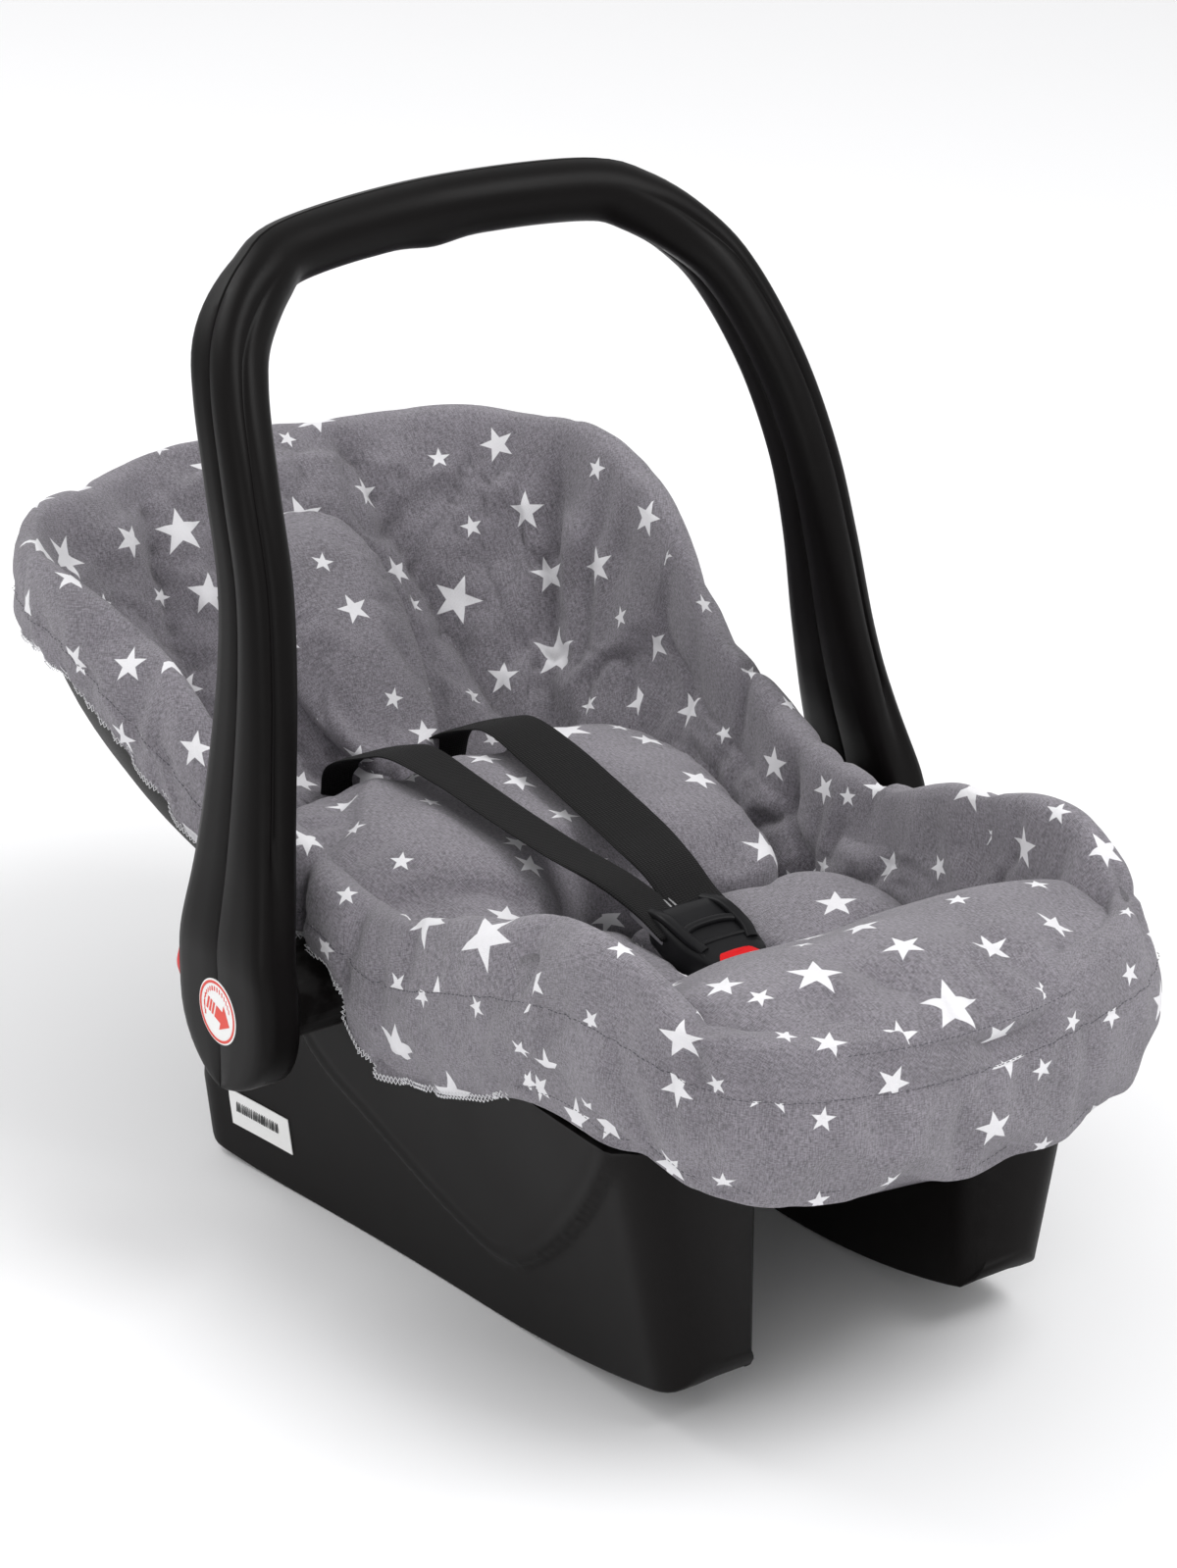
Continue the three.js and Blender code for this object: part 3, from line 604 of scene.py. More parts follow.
def plastic_material(name, base, roughness, grain=2200.0, scuffs=0.3, wear=0.4, depth=0.00006, gloss=0.1):
    """Moulded plastic with a fine grain, scuffs and worn edges."""
    material, n, out = new_material(name)
    place = n.add("ShaderNodeTexCoord").outputs["Object"]
    moulded = group(n, "Moulded Grain", Place=place, Grain=grain, Scuffs=scuffs)
    worn = group(n, "Edge Wear", Place=place, Amount=wear)["Wear"]
    dark, light = colour([v * 0.85 for v in base]), colour([v * 1.15 for v in base])
    body = n.mix(moulded["Shade"], dark, light)
    rubbed = colour([v * 1.4 + 0.035 for v in base])
    marks = n.math("ADD", moulded["Scuff"], worn, clamp=True)
    n.put(out["Base Color"], n.mix(marks, body, rubbed))
    rough = n.math("ADD", n.math("MULTIPLY", n.math("SUBTRACT", moulded["Shade"], 0.5), 0.12), roughness)
    n.put(out["Roughness"], n.math("ADD", rough, n.math("MULTIPLY", marks, 0.15), clamp=True))
    out["Specular IOR Level"].default_value = gloss
    n.put(out["Normal"], bump(n, moulded["Height"], depth))
    return material


def webbing_material(name, base):
    """Ribbed black webbing."""
    material, n, out = new_material(name)
    place = n.add("ShaderNodeUVMap", uv_map="cloth").outputs[0]
    weave = group(n, "Weave", Map=place, Thread=0.0016, Fleck=1.0)
    body = n.mix(n.math("ADD", n.math("MULTIPLY", weave["Height"], 0.7),
                        n.math("MULTIPLY", weave["Fleck"], 0.5), clamp=True),
                 colour([v * 0.5 for v in base]), colour([v * 1.8 for v in base]))
    n.put(out["Base Color"], body)
    out["Roughness"].default_value = 0.78
    out["Sheen Weight"].default_value = 0.03
    out["Specular IOR Level"].default_value = 0.2
    n.put(out["Normal"], bump(n, weave["Height"], 0.0004))
    return material


def metal_material(name, base, roughness=0.32):
    """Plated steel."""
    material, n, out = new_material(name)
    place = n.add("ShaderNodeTexCoord").outputs["Object"]
    brushed = n.noise(n.vector("MULTIPLY", place, (300.0, 4000.0, 300.0)), 1.0, 3.0)
    n.put(out["Base Color"], n.mix(brushed, colour([v * 0.85 for v in base]), colour(base)))
    out["Metallic"].default_value = 1.0
    n.put(out["Roughness"], n.math("ADD", n.math("MULTIPLY", brushed, 0.15), roughness))
    return material


def printed_material(name, base, roughness=0.45):
    """Paper or thread of one colour."""
    material, n, out = new_material(name)
    place = n.add("ShaderNodeTexCoord").outputs["Object"]
    paper = n.noise(place, 900.0, 3.0)
    n.put(out["Base Color"], n.mix(paper, colour([v * 0.95 for v in base]), colour(base)))
    out["Roughness"].default_value = roughness
    n.put(out["Normal"], bump(n, paper, 0.00003))
    return material


# ------------------------------------------------------------------ settings a user would change


class CarrierFabric(bpy.types.PropertyGroup):
    puff: bpy.props.FloatProperty(name="Puff height", description="Height of the quilted pads",
                                  default=0.017, unit="LENGTH")
    crest: bpy.props.FloatProperty(name="Rim padding", description="Fabric above the rim", default=0.003,
                                   unit="LENGTH")
    sheet: bpy.props.FloatProperty(name="Skirt thickness", description="Thickness of the skirt",
                                   default=0.0026, unit="LENGTH")
    pressure: bpy.props.FloatProperty(name="Filling", description="Pressure that swells the cushions",
                                      default=4.0)
    colour: bpy.props.FloatVectorProperty(
        name="Fabric colour", description="Ground colour of the cloth", default=(0.205, 0.192, 0.216),
        subtype="COLOR")
    star: bpy.props.FloatVectorProperty(
        name="Star colour", description="Colour of the printed stars", default=(0.90, 0.89, 0.92),
        subtype="COLOR")


class CarrierShell(bpy.types.PropertyGroup):
    colour: bpy.props.FloatVectorProperty(
        name="Plastic colour", description="Bucket and rockers", default=(0.0044, 0.0036, 0.0035),
        subtype="COLOR")
    handle: bpy.props.FloatVectorProperty(
        name="Handle colour", description="Handle halves", default=(0.0040, 0.0034, 0.0034), subtype="COLOR")
    roughness: bpy.props.FloatProperty(
        name="Roughness", description="Roughness of the moulded plastic", default=0.46, min=0, max=1,
        subtype="FACTOR")
    emboss: bpy.props.FloatProperty(
        name="Raised panel", description="How far the rocker's panel stands out", default=0.0045,
        unit="LENGTH")


class CarrierHarness(bpy.types.PropertyGroup):
    width: bpy.props.FloatProperty(name="Strap width", description="Width of the webbing", default=0.032,
                                   unit="LENGTH")
    thickness: bpy.props.FloatProperty(name="Strap thickness", description="Webbing thickness",
                                       default=0.002, unit="LENGTH")
    red: bpy.props.FloatVectorProperty(
        name="Button colour", description="Press buttons", default=(0.62, 0.012, 0.015), subtype="COLOR")


class CarrierStage(bpy.types.PropertyGroup):
    floor: bpy.props.FloatVectorProperty(
        name="Floor colour", description="Pale studio floor", default=(0.93, 0.93, 0.94), subtype="COLOR")
    light: bpy.props.FloatProperty(name="Light", description="Strength of the key light", default=52.0,
                                   unit="POWER")


# ------------------------------------------------------------------ fabric cover

COVER_OUT = LIP_OUT + 1.6
BACK_PAD = [(0, 170), (22, 175), (29, 190), (39, 213), (46, 258), (43, 285), (30, 301), (0, 307)]
BACK_CREASE = [(118, 140), (105, 168), (93, 206), (87, 249), (82, 283), (74, 325), (70, 352)]
WING_FOLD = [(171, 262), (146, 232), (126, 211), (114, 186)]


def distance_to(line, x, y):
    """Distance in plan from points to a line of straight pieces."""
    best = np.full(np.broadcast(x, y).shape, 1e9)
    for (ax, ay), (bx, by) in zip(line[:-1], line[1:]):
        dx, dy = bx - ax, by - ay
        t = np.clip(((x - ax) * dx + (y - ay) * dy) / (dx * dx + dy * dy), 0, 1)
        best = np.minimum(best, np.hypot(x - ax - t * dx, y - ay - t * dy))
    return best


def crown(distance, width):
    """A quarter ellipse: 0 in the seam, rising steeply, 1 past the width."""
    t = 1 - np.clip(distance / width, 0, 1)
    return np.sqrt(np.maximum(1 - t * t, 0))


def cover_lift(u, s, puff):
    """How far the cover's padding stands off the bowl."""
    face = bowl_face(u, s)
    x, y = np.abs(face[..., 0]), face[..., 1]
    head = smooth(125, 178, y)
    seam = np.minimum(distance_to(BACK_CREASE, x, y), distance_to(BACK_PAD, x, y))
    wing = distance_to(WING_FOLD, x, y)
    quilted = (4 + puff * crown(seam, 30) - 9 * np.exp(-((wing / 8) ** 2))
               + 3 * np.exp(-(((wing - 22) / 12) ** 2)))
    plain = 9 + 4 * smooth(0.4, 0.75, s)
    return lerp(lerp(plain, quilted, head), 8.5, smooth(0.86, 0.99, s))


def cover_profile(u, fabric):
    """Rows of the cover's closed section for every u: seat face, over the rim, skirt, hem and back inside."""
    puff, crest, sheet = fabric.puff * 1000, fabric.crest * 1000, fabric.sheet * 1000
    start = cushion_edge(u) - 0.12
    rows, kinds = [], []
    for t in np.linspace(0, 1, 46):
        s = lerp(start, 0.93, t)
        rows.append(bowl(u, s, cover_lift(u, s, puff)))
        kinds.append("face")
    y = rim_at(u)[..., 1]
    side = smooth(-20, 60, y) * (1 - smooth(150, 260, y))
    lift = crest + 5 * side + 2.0 * wave(u * 1700, 0, 5, 130)
    crest_line = [
        (-7.5, 7.5, 1.0), (-3, 10, 1.0), (2, 10.5, 1.0), (7, 8.5, 0.9), (COVER_OUT + 1.5, 3, 0.6),
        (COVER_OUT + 3.5, -5, 0.3),
    ]
    under_pad = smooth(-225, -285, y) * 0.8
    for out, up, share in crest_line:
        rows.append(rim_point(u, out, lerp(up + lift * share, min(up, 1.5), under_pad)))
        kinds.append("crest")
    drop = along(HEM, y)
    foot = smooth(-60, -200, y)
    for t in np.linspace(0.06, 1, 15):
        bulge = (3.5 + 3.0 * foot) * np.sin(np.pi * np.clip(t * 1.05, 0, 1)) ** 0.8 - 3.5 * foot * t**3
        rows.append(rim_point(u, COVER_OUT + sheet + bulge, lerp(-8.0, -drop, t)))
        kinds.append("skirt")
    edge = -3.5 * foot
    rows.append(rim_point(u, COVER_OUT + sheet * 0.85 + edge, -drop - 1.1))
    rows.append(rim_point(u, COVER_OUT + sheet * 0.35 + edge, -drop - 1.1))
    kinds += ["hem", "hem"]
    for t in np.linspace(1, 0.1, 4):
        bulge = (3.5 + 3.0 * foot) * np.sin(np.pi * np.clip(t * 1.05, 0, 1)) ** 0.8 - 3.5 * foot * t**3
        rows.append(rim_point(u, COVER_OUT + bulge * 0.9, lerp(-8.0, -drop, t)))
        kinds.append("lining")
    rows.append(rim_point(u, COVER_OUT, 1.6))
    rows.append(rim_point(u, -0.6, 2.2))
    for s in (0.88, 0.6):
        rows.append(bowl(u, np.full_like(u, s), 1.0))
    rows.append(bowl(u, start + 0.03, 1.0))
    kinds += ["lining"] * 5
    return np.array(rows), np.array(kinds)


def cover_wrinkles(points, kinds, u):
    """How far each point of the section stands out or in, for folds of the cloth."""
    rows, columns = points.shape[:2]
    step = np.linalg.norm(np.diff(points, axis=0), axis=2)
    down = np.vstack([np.zeros(columns), np.cumsum(step, 0)])
    along_rim = np.broadcast_to(u * 1700, (rows, columns))
    y = points[..., 1]
    x = points[..., 0]
    face = (kinds == "face")[:, None]
    skirt = np.isin(kinds, ["skirt", "hem"])[:, None]
    crest = (kinds == "crest")[:, None]
    near_hub = np.exp(-(((y - 5) / 55) ** 2))
    waist = np.exp(-(((y + 20) / 75) ** 2))
    total = 1.5 * wave(along_rim, down, 11, 95) * (face | crest | skirt)
    hang = smooth(0, 1, np.cumsum(skirt, 0) / 17.0)
    total += skirt * hang * 1.8 * wave(along_rim, down * 0.25, 12, 70)
    total += skirt * 1.0 * wave(along_rim * 0.5 + down, down * 0.4, 13, 34)
    fold = np.abs(wave(along_rim, down * 0.30, 14, 46))
    rim_share = smooth(0, 60, down - down[45]) + smooth(-110, -20, down - down[45]) * (down <= down[45])
    total += np.clip(rim_share, 0, 1) * near_hub * (2.5 - 9.0 * np.exp(-((fold / 0.26) ** 2)))
    rolls = np.abs(wave(along_rim * 0.35, down, 15, 62))
    total += face * waist * (2.5 - 9.0 * np.exp(-((rolls / 0.24) ** 2)))
    pulls = np.abs(wave(along_rim * 1.0, down * 0.5, 16, 80))
    total += face * (1 - waist) * -4.0 * np.exp(-((pulls / 0.12) ** 2))
    for corner in ((-131, -283), (131, -283)):
        away = np.hypot(x - corner[0], y - corner[1])
        turn = np.arctan2(y - corner[1], x - corner[0])
        star_fold = np.abs(np.sin(turn * 3.5 + 0.8)) ** 0.6
        total += (crest | skirt) * 4.5 * (star_fold - 0.9) * np.exp(-((away / 34) ** 2))
    total *= np.where(np.isin(kinds, ["lining"]), 0, 1)[:, None]
    first = np.zeros(rows)
    first[:3] = (1, 1, 0.5)
    return total * (1 - first)[:, None]


def grid_normals(points):
    """Normals of a grid of points, closed from column to column."""
    du = np.roll(points, -1, 1) - np.roll(points, 1, 1)
    dv = np.gradient(points, axis=0)
    normal = np.cross(dv, du)
    return normal / np.maximum(np.linalg.norm(normal, axis=2, keepdims=True), 1e-6)


def select_only(piece):
    for other in bpy.context.selected_objects:
        other.select_set(False)
    bpy.context.view_layer.objects.active = piece
    piece.select_set(True)


def unwrap(piece, seams):
    """A map named cloth, in metres, cut along the given pairs of vertices."""
    mesh = piece.data
    cuts = {tuple(sorted((int(a), int(b)))) for a, b in seams}
    for edge in mesh.edges:
        edge.use_seam = tuple(sorted(edge.vertices)) in cuts
    mesh.uv_layers.new(name="cloth")
    select_only(piece)
    bpy.ops.object.mode_set(mode="EDIT")
    bpy.ops.mesh.select_all(action="SELECT")
    bpy.ops.uv.unwrap(method="ANGLE_BASED", margin=0.002)
    bpy.ops.object.mode_set(mode="OBJECT")
    data = np.zeros(len(mesh.loops) * 2)
    mesh.uv_layers["cloth"].data.foreach_get("uv", data)
    data = data.reshape(-1, 2)
    flat, solid = 0.0, 0.0
    for face in mesh.polygons:
        corner = data[list(face.loop_indices)]
        x, y = corner[:, 0], corner[:, 1]
        flat += abs(np.dot(x, np.roll(y, -1)) - np.dot(y, np.roll(x, -1))) / 2
        solid += face.area
    mesh.uv_layers["cloth"].data.foreach_set("uv", (data * math.sqrt(solid / flat)).ravel())
    for edge in mesh.edges:
        edge.use_seam = False


def swell(piece, held, pressure, slack, cap, frames=16):
    """Cloth simulation of a closed piece under pressure, kept only as moved points."""
    scene = bpy.context.scene
    group_ = piece.vertex_groups.new(name="held")
    for index, weight in enumerate(held):
        if weight > 0:
            group_.add([index], float(weight), "REPLACE")
    cloth = piece.modifiers.new("cloth", "CLOTH")
    settings = cloth.settings
    settings.quality = 6
    settings.mass = 0.25
    settings.air_damping = 3
    settings.tension_stiffness = 18
    settings.compression_stiffness = 12
    settings.shear_stiffness = 8
    settings.bending_stiffness = 0.25
    settings.use_pressure = True
    settings.uniform_pressure_force = pressure
    settings.shrink_min = -slack
    settings.vertex_group_mass = "held"
    settings.effector_weights.gravity = 0
    cloth.collision_settings.use_collision = False
    cloth.collision_settings.use_self_collision = False
    cloth.point_cache.frame_start = 1
    cloth.point_cache.frame_end = frames
    for number in range(1, frames + 1):
        scene.frame_set(number)
    depsgraph = bpy.context.evaluated_depsgraph_get()
    result = piece.evaluated_get(depsgraph).to_mesh()
    after = np.zeros(len(result.vertices) * 3)
    before = np.zeros(len(piece.data.vertices) * 3)
    result.vertices.foreach_get("co", after)
    piece.data.vertices.foreach_get("co", before)
    piece.evaluated_get(depsgraph).to_mesh_clear()
    piece.modifiers.remove(cloth)
    move = (after - before).reshape(-1, 3)
    length = np.linalg.norm(move, axis=1, keepdims=True)
    move *= np.minimum(1, cap / 1000 / np.maximum(length, 1e-9))
    piece.data.vertices.foreach_set("co", (before.reshape(-1, 3) + move).ravel())
    piece.vertex_groups.remove(group_)
    piece.data.update()
    scene.frame_set(1)


def subdivided(piece, levels=1):
    modifier(piece, "SUBSURF", levels=levels, render_levels=levels)
    return flatten(piece)


def closed_ring_object(name, points, material):
    """A closed tube of cloth, whose section runs through all the rows."""
    rows, columns = points.shape[:2]
    faces = grid_faces(rows, columns, close_rows=True)
    mesh = bpy.data.meshes.new(name)
    mesh.from_pydata(to_frame(points).tolist(), [], faces)
    bm = bmesh.new()
    bm.from_mesh(mesh)
    if bm.calc_volume(signed=True) < 0:
        bmesh.ops.reverse_faces(bm, faces=bm.faces)
    bm.to_mesh(mesh)
    bm.free()
    mesh.polygons.foreach_set("use_smooth", [True] * len(mesh.polygons))
    mesh.materials.append(material)
    piece = bpy.data.objects.new(name, mesh)
    bpy.context.scene.collection.objects.link(piece)
    return piece


LINES = {}  # seam and hem lines of the finished cover, for the stitching


def make_cover(fabric, material):
    """The sewn cover over the rim: shaped, mapped for its print and swelled by the cloth simulation."""
    columns = 320
    u = np.arange(columns) / columns
    points, kinds = cover_profile(u, fabric)
    height = cover_wrinkles(points, kinds, u)
    normals = grid_normals(points)
    inward = np.array((0, 22, 260)) - points
    facing = np.sum(normals[5] * inward[5], -1).mean()
    points = points + normals * np.sign(facing) * height[..., None]
    outside = np.isin(kinds, ["skirt", "hem", "lining"])[:, None] & (points[..., 2] < 176)
    beside = (points[..., 1] > ROCKER["front"]) & (points[..., 1] < -30)
    room = rocker_wall(points[..., 1],
                       np.minimum(points[..., 2], 168.0)) + 6.0 + 1.8 * (kinds == "skirt")[:, None]
    pushed = np.sign(points[..., 0]) * np.maximum(np.abs(points[..., 0]), room)
    points[..., 0] = np.where(outside & beside & (np.abs(points[..., 0]) > 90), pushed, points[..., 0])
    piece = closed_ring_object("cover", points, material)
    rows = len(kinds)
    at = lambda row, column: row * columns + column % columns
    crest_row = int(np.argmax(kinds == "skirt")) + 2
    hem_row = int(np.argmax(kinds == "hem"))
    seams = []
    for row in (crest_row, hem_row, rows - 1):
        seams += [(at(row, k), at(row, k + 1)) for k in range(columns)]
    for station in (5, 10, 18, 23):
        column = round(station / STATIONS * columns)
        seams += [(at(row, column), at((row + 1) % rows, column)) for row in range(rows)]
    unwrap(piece, seams)
    x, y = np.abs(points[..., 0]), points[..., 1]
    held = np.zeros(points.shape[:2])
    held[np.isin(kinds, ["lining", "hem"])] = 1
    held[:3] = 1
    held[crest_row] = 0.8
    seam = np.minimum(distance_to(BACK_CREASE, x, y), distance_to(BACK_PAD, x, y))
    held = np.maximum(held, np.exp(-((seam / 8) ** 2)) * (kinds == "face")[:, None] * smooth(130, 160, y))
    held = np.maximum(held, 0.15)
    swell(piece, held.ravel(), fabric.pressure * 0.35, 0.05, 7)
    coords = np.zeros(len(piece.data.vertices) * 3)
    piece.data.vertices.foreach_get("co", coords)
    coords = coords.reshape(rows, columns, 3)
    LINES["crest"] = coords[crest_row]
    LINES["hem"] = coords[hem_row - 1]
    return subdivided(piece)


# ------------------------------------------------------------------ loose cushions


def pillow(name, outline, edge, top, depth, material, size=37, power=2.6, roundness=0.55, gathers=34,
           gather=1.6):
    """A closed pad inside an outline: `edge` gives the height of its seam, `top` what rises above it."""
    line = np.linspace(-1, 1, size)
    a, b = np.meshgrid(line, line, indexing="ij")
    r = np.maximum(np.abs(a), np.abs(b))
    wide = np.abs(a) >= np.abs(b)
    safe_a = np.where(a == 0, 1, a)
    safe_b = np.where(b == 0, 1, b)
    angle = np.where(wide, np.pi / 4 * b / safe_a, np.pi / 2 - np.pi / 4 * a / safe_b)
    angle = np.where(wide & (a < 0), angle + np.pi, angle)
    angle = np.where(~wide & (b < 0), angle + np.pi, angle)
    border = spline(list(outline) + [outline[0]], 240)[:-1]
    middle = border.mean(0)
    turn = np.mod(np.arctan2(border[:, 1] - middle[1], border[:, 0] - middle[0]), 2 * np.pi)
    reach = np.linalg.norm(border - middle, axis=1)
    order = np.argsort(turn)
    radius = np.interp(np.mod(angle, 2 * np.pi), turn[order], reach[order], period=2 * np.pi)
    r = np.where((a == 0) & (b == 0), 0, r)
    x = middle[0] + radius * r * np.cos(angle)
    y = middle[1] + radius * r * np.sin(angle)
    seam = edge(x, y)
    rise = (1 - r**power) ** roundness
    tuck = (np.abs(np.sin(angle * gathers / 2 + 1.5 * np.sin(3 * angle)))
            * smooth(0.62, 0.95, r) * (1 - smooth(0.985, 1.0, r)))
    broad = wave(x, y, 31, 80) * 1.6 * (1 - r**3)
    upper = np.stack([x, y, seam + top(x, y) * rise + broad - gather * (1 - tuck) * smooth(0.62, 0.9, r)], -1)
    upper[r > 0.9999, 2] = seam[r > 0.9999]
    upper = upper.reshape(-1, 3)
    lower = np.stack([x, y, seam - depth * (1 - r**4) ** 0.5], -1).reshape(-1, 3)
    rim = (r > 0.9999).ravel()
    number = np.arange(size * size)
    below = np.where(rim, number, number + size * size)
    faces = []
    for i in range(size - 1):
        for j in range(size - 1):
            quad = [i * size + j, (i + 1) * size + j, (i + 1) * size + j + 1, i * size + j + 1]
            faces.append(quad)
            faces.append([below[k] for k in reversed(quad)])
    points = np.vstack([upper, lower])
    used = np.unique(np.array(faces))
    place = np.full(len(points), -1)
    place[used] = np.arange(len(used))
    faces = [[int(place[k]) for k in f] for f in faces]
    mesh = bpy.data.meshes.new(name)
    mesh.from_pydata(to_frame(points[used]).tolist(), [], faces)
    mesh.polygons.foreach_set("use_smooth", [True] * len(mesh.polygons))
    mesh.materials.append(material)
    piece = bpy.data.objects.new(name, mesh)
    bpy.context.scene.collection.objects.link(piece)
    rims = {int(place[k]) for k in number[rim]}
    seams = [e.vertices[:] for e in mesh.edges if e.vertices[0] in rims and e.vertices[1] in rims]
    unwrap(piece, seams)
    held = np.where(np.arange(len(used)) >= np.sum(used < size * size), 1.0, 0.0)
    held[list(rims)] = 1.0
    order = sorted(rims, key=lambda k: math.atan2(mesh.vertices[k].co.y
                                                  - float(to_frame(np.append(middle, 0))[0][1]),
                                                  mesh.vertices[k].co.x))
    LINES[name] = np.array([mesh.vertices[k].co[:] for k in order])
    return piece, held


def mirrored_outline(half):
    """A closed outline from the points of its right side, from one end of the middle line to the other."""
    left = [(-x, y) for x, y in reversed(half) if x > 0.5]
    return [tuple(p) for p in half] + left


def make_cushions(fabric, material):
    """The loose pads that lie in the cover: back pad, lumbar pad, two seat pads and the leg pad."""
    pieces = []

    def add(name, outline, edge, top, depth, pressure, slack, cap, **shape):
        piece, held = pillow(name, outline, edge, top, depth, material, **shape)
        swell(piece, held, fabric.pressure * pressure, slack, cap)
        subdivided(piece)
        pieces.append(piece)
        return piece

    def back_floor(x, y):
        return np.interp(y, [150, 170, 185, 213, 258, 285, 307, 330],
                         [168, 176, 186, 207, 243, 264, 281, 297]) + 0.002 * x**2

    add("back_cushion", mirrored_outline([(0, 172), (20, 174), (31, 190), (41, 215), (48, 256), (43, 284),
                                          (27, 302), (0, 308)]),
        lambda x, y: back_floor(x, y) + 5, lambda x, y: 24 + 0 * x, 14, 0.8, 0.06, 6, size=33)

    def lumbar_edge(x, y):
        return 168 + 0.0009 * x**2 + 0.06 * (y - 60)

    def lumbar_top(x, y):
        lobes = 5 * np.cos(x / 118 * np.pi * 1.5) * smooth(-20, 40, y)
        strap = 5 * np.exp(-(((np.abs(x) - 26 - (y - 60) * 0.08) / 15) ** 2))
        return 33 + 0.02 * (y - 60) - strap - lobes * 0.4

    lumbar = mirrored_outline([(0, 160), (40, 158), (80, 152), (108, 132), (121, 96), (122, 50), (112, -2),
                               (98, -38), (60, -34), (28, -18), (0, -6)])
    add("lumbar_cushion", lumbar, lumbar_edge, lumbar_top, 34, 1.0, 0.07, 7, size=49, power=3.2,
        roundness=0.5)

    for side, where in ((-1, "left"), (1, "right")):
        half = [(4, -22), (34, -30), (66, -46), (100, -48), (120, -62), (124, -100), (116, -142),
                (84, -156), (40, -158), (6, -152)]
        outline = [(side * x, y) for x, y in half][::side]
        add(f"seat_pad_{where}", outline, lambda x, y: 152 + 0.0010 * x**2 - 0.02 * (y + 80),
            lambda x, y: 26 + 4 * np.exp(-(((np.abs(x) - 70) / 40) ** 2)), 24, 1.0, 0.07, 7, size=37,
            power=3.0, roundness=0.5)

    def leg_edge(x, y):
        return np.interp(y, [-335, -320, -280, -240, -200, -160, -138],
                         [233, 233, 232, 224, 202, 170, 156]) + 0.0002 * x**2

    def leg_top(x, y):
        valley = 4 * np.exp(-((x / 20) ** 2)) * smooth(-260, -160, y)
        return np.interp(y, [-335, -300, -250, -190, -140], [10, 15, 22, 24, 16]) - valley

    leg = mirrored_outline([(0, -138), (50, -140), (96, -146), (118, -170), (127, -220), (134, -258),
                            (128, -290), (92, -313), (46, -327), (0, -331)])
    add("leg_pad_cushion", leg, leg_edge, leg_top, 24, 0.9, 0.07, 6, size=49, power=3.4, roundness=0.5)
    return pieces


# ------------------------------------------------------------------ moulded bucket and rockers


def bowl_grid(lift, around=168, steps=30):
    u = np.arange(around) / around
    rows = [bowl(u, np.full(around, s), lift) for s in np.linspace(0.012, 1, steps)]
    return np.array(rows)


def cut(piece, blocks):
    """Takes box shapes out of a piece."""
    for low_corner, high_corner in blocks:
        bm = bmesh.new()
        bmesh.ops.create_cube(bm, size=1)
        low_corner, high_corner = to_frame(low_corner)[0], to_frame(high_corner)[0]
        for vertex in bm.verts:
            vertex.co = Vector([lerp(low_corner[k], high_corner[k], vertex.co[k] + 0.5) for k in range(3)])
        mesh = bpy.data.meshes.new("cutter")
        bm.to_mesh(mesh)
        bm.free()
        cutter = bpy.data.objects.new("cutter", mesh)
        bpy.context.scene.collection.objects.link(cutter)
        modifier(piece, "BOOLEAN", operation="DIFFERENCE", object=cutter, solver="EXACT")
        flatten(piece)
        bpy.data.objects.remove(cutter)
    return piece


def make_bucket(material):
    """The moulded bucket with its lip and strap slots."""
    around = 168
    u = np.arange(around) / around
    steps = np.linspace(0.0, 1, 30)
    # The rim is drawn in a little, so that the cloth lies over it and not through it.
    sunk, lip = 2.5, LIP_OUT - 2.5
    rows = [bowl(u, np.full(around, s), -1.5 * s) for s in steps]
    rows += [rim_point(u, lip * t, 0.4 * np.sin(np.pi * t) - sunk + np.zeros(around))
             for t in (0.3, 0.7, 0.94)]
    rows += [rim_point(u, lip, -0.8 - sunk), rim_point(u, lip, -LIP_DROP), rim_point(u, lip - 1.8, -LIP_DROP)]
    rows += [rim_point(u, lip - 1.8, -2.2 - sunk), rim_point(u, BUCKET_WALL - 0.6, -2.4 - sunk)]
    rows += [rim_point(u, BUCKET_WALL - 0.8, -6.2)]
    rows += [bowl(u, np.full(around, s), -BUCKET_WALL) for s in steps[::-1][1:]]
    points = np.array(rows)
    points[0] = points[0].mean(0)
    points[-1] = points[-1].mean(0)
    faces = grid_faces(len(rows), around)
    piece = mesh_object("bucket_shell", points.reshape(-1, 3), faces, material)
    slot_at = bowl(np.array([0.0]), np.array([0.37]), -BUCKET_WALL / 2)[0]
    crotch_at = bowl(np.array([0.5]), np.array([0.3]), -BUCKET_WALL / 2)[0]
    blocks = [((x - 19, at[1] - 10, at[2] - 25), (x + 19, at[1] + 10, at[2] + 25))
              for x, at in ((32, slot_at), (-32, slot_at), (0, crotch_at))]
    cut(piece, blocks)
    smoothed_edges(piece, 40)
    return piece


def foot_height(y):
    """Height of the rocker's foot: flat in the middle, an arc towards each end."""
    r = ROCKER["radius"]
    past = np.maximum(np.maximum(ROCKER["flat_front"] - y, y - ROCKER["flat_rear"]), 0)
    return r - np.sqrt(r * r - past * past)


def end_rise(y):
    """The foot's corners are rounded where it meets the end walls."""
    near_front = max(13 - (y - ROCKER["front"]), 0)
    near_rear = max(16 - (ROCKER["rear"] - y), 0)
    return 13 - math.sqrt(169 - near_front**2) + 16 - math.sqrt(256 - near_rear**2)


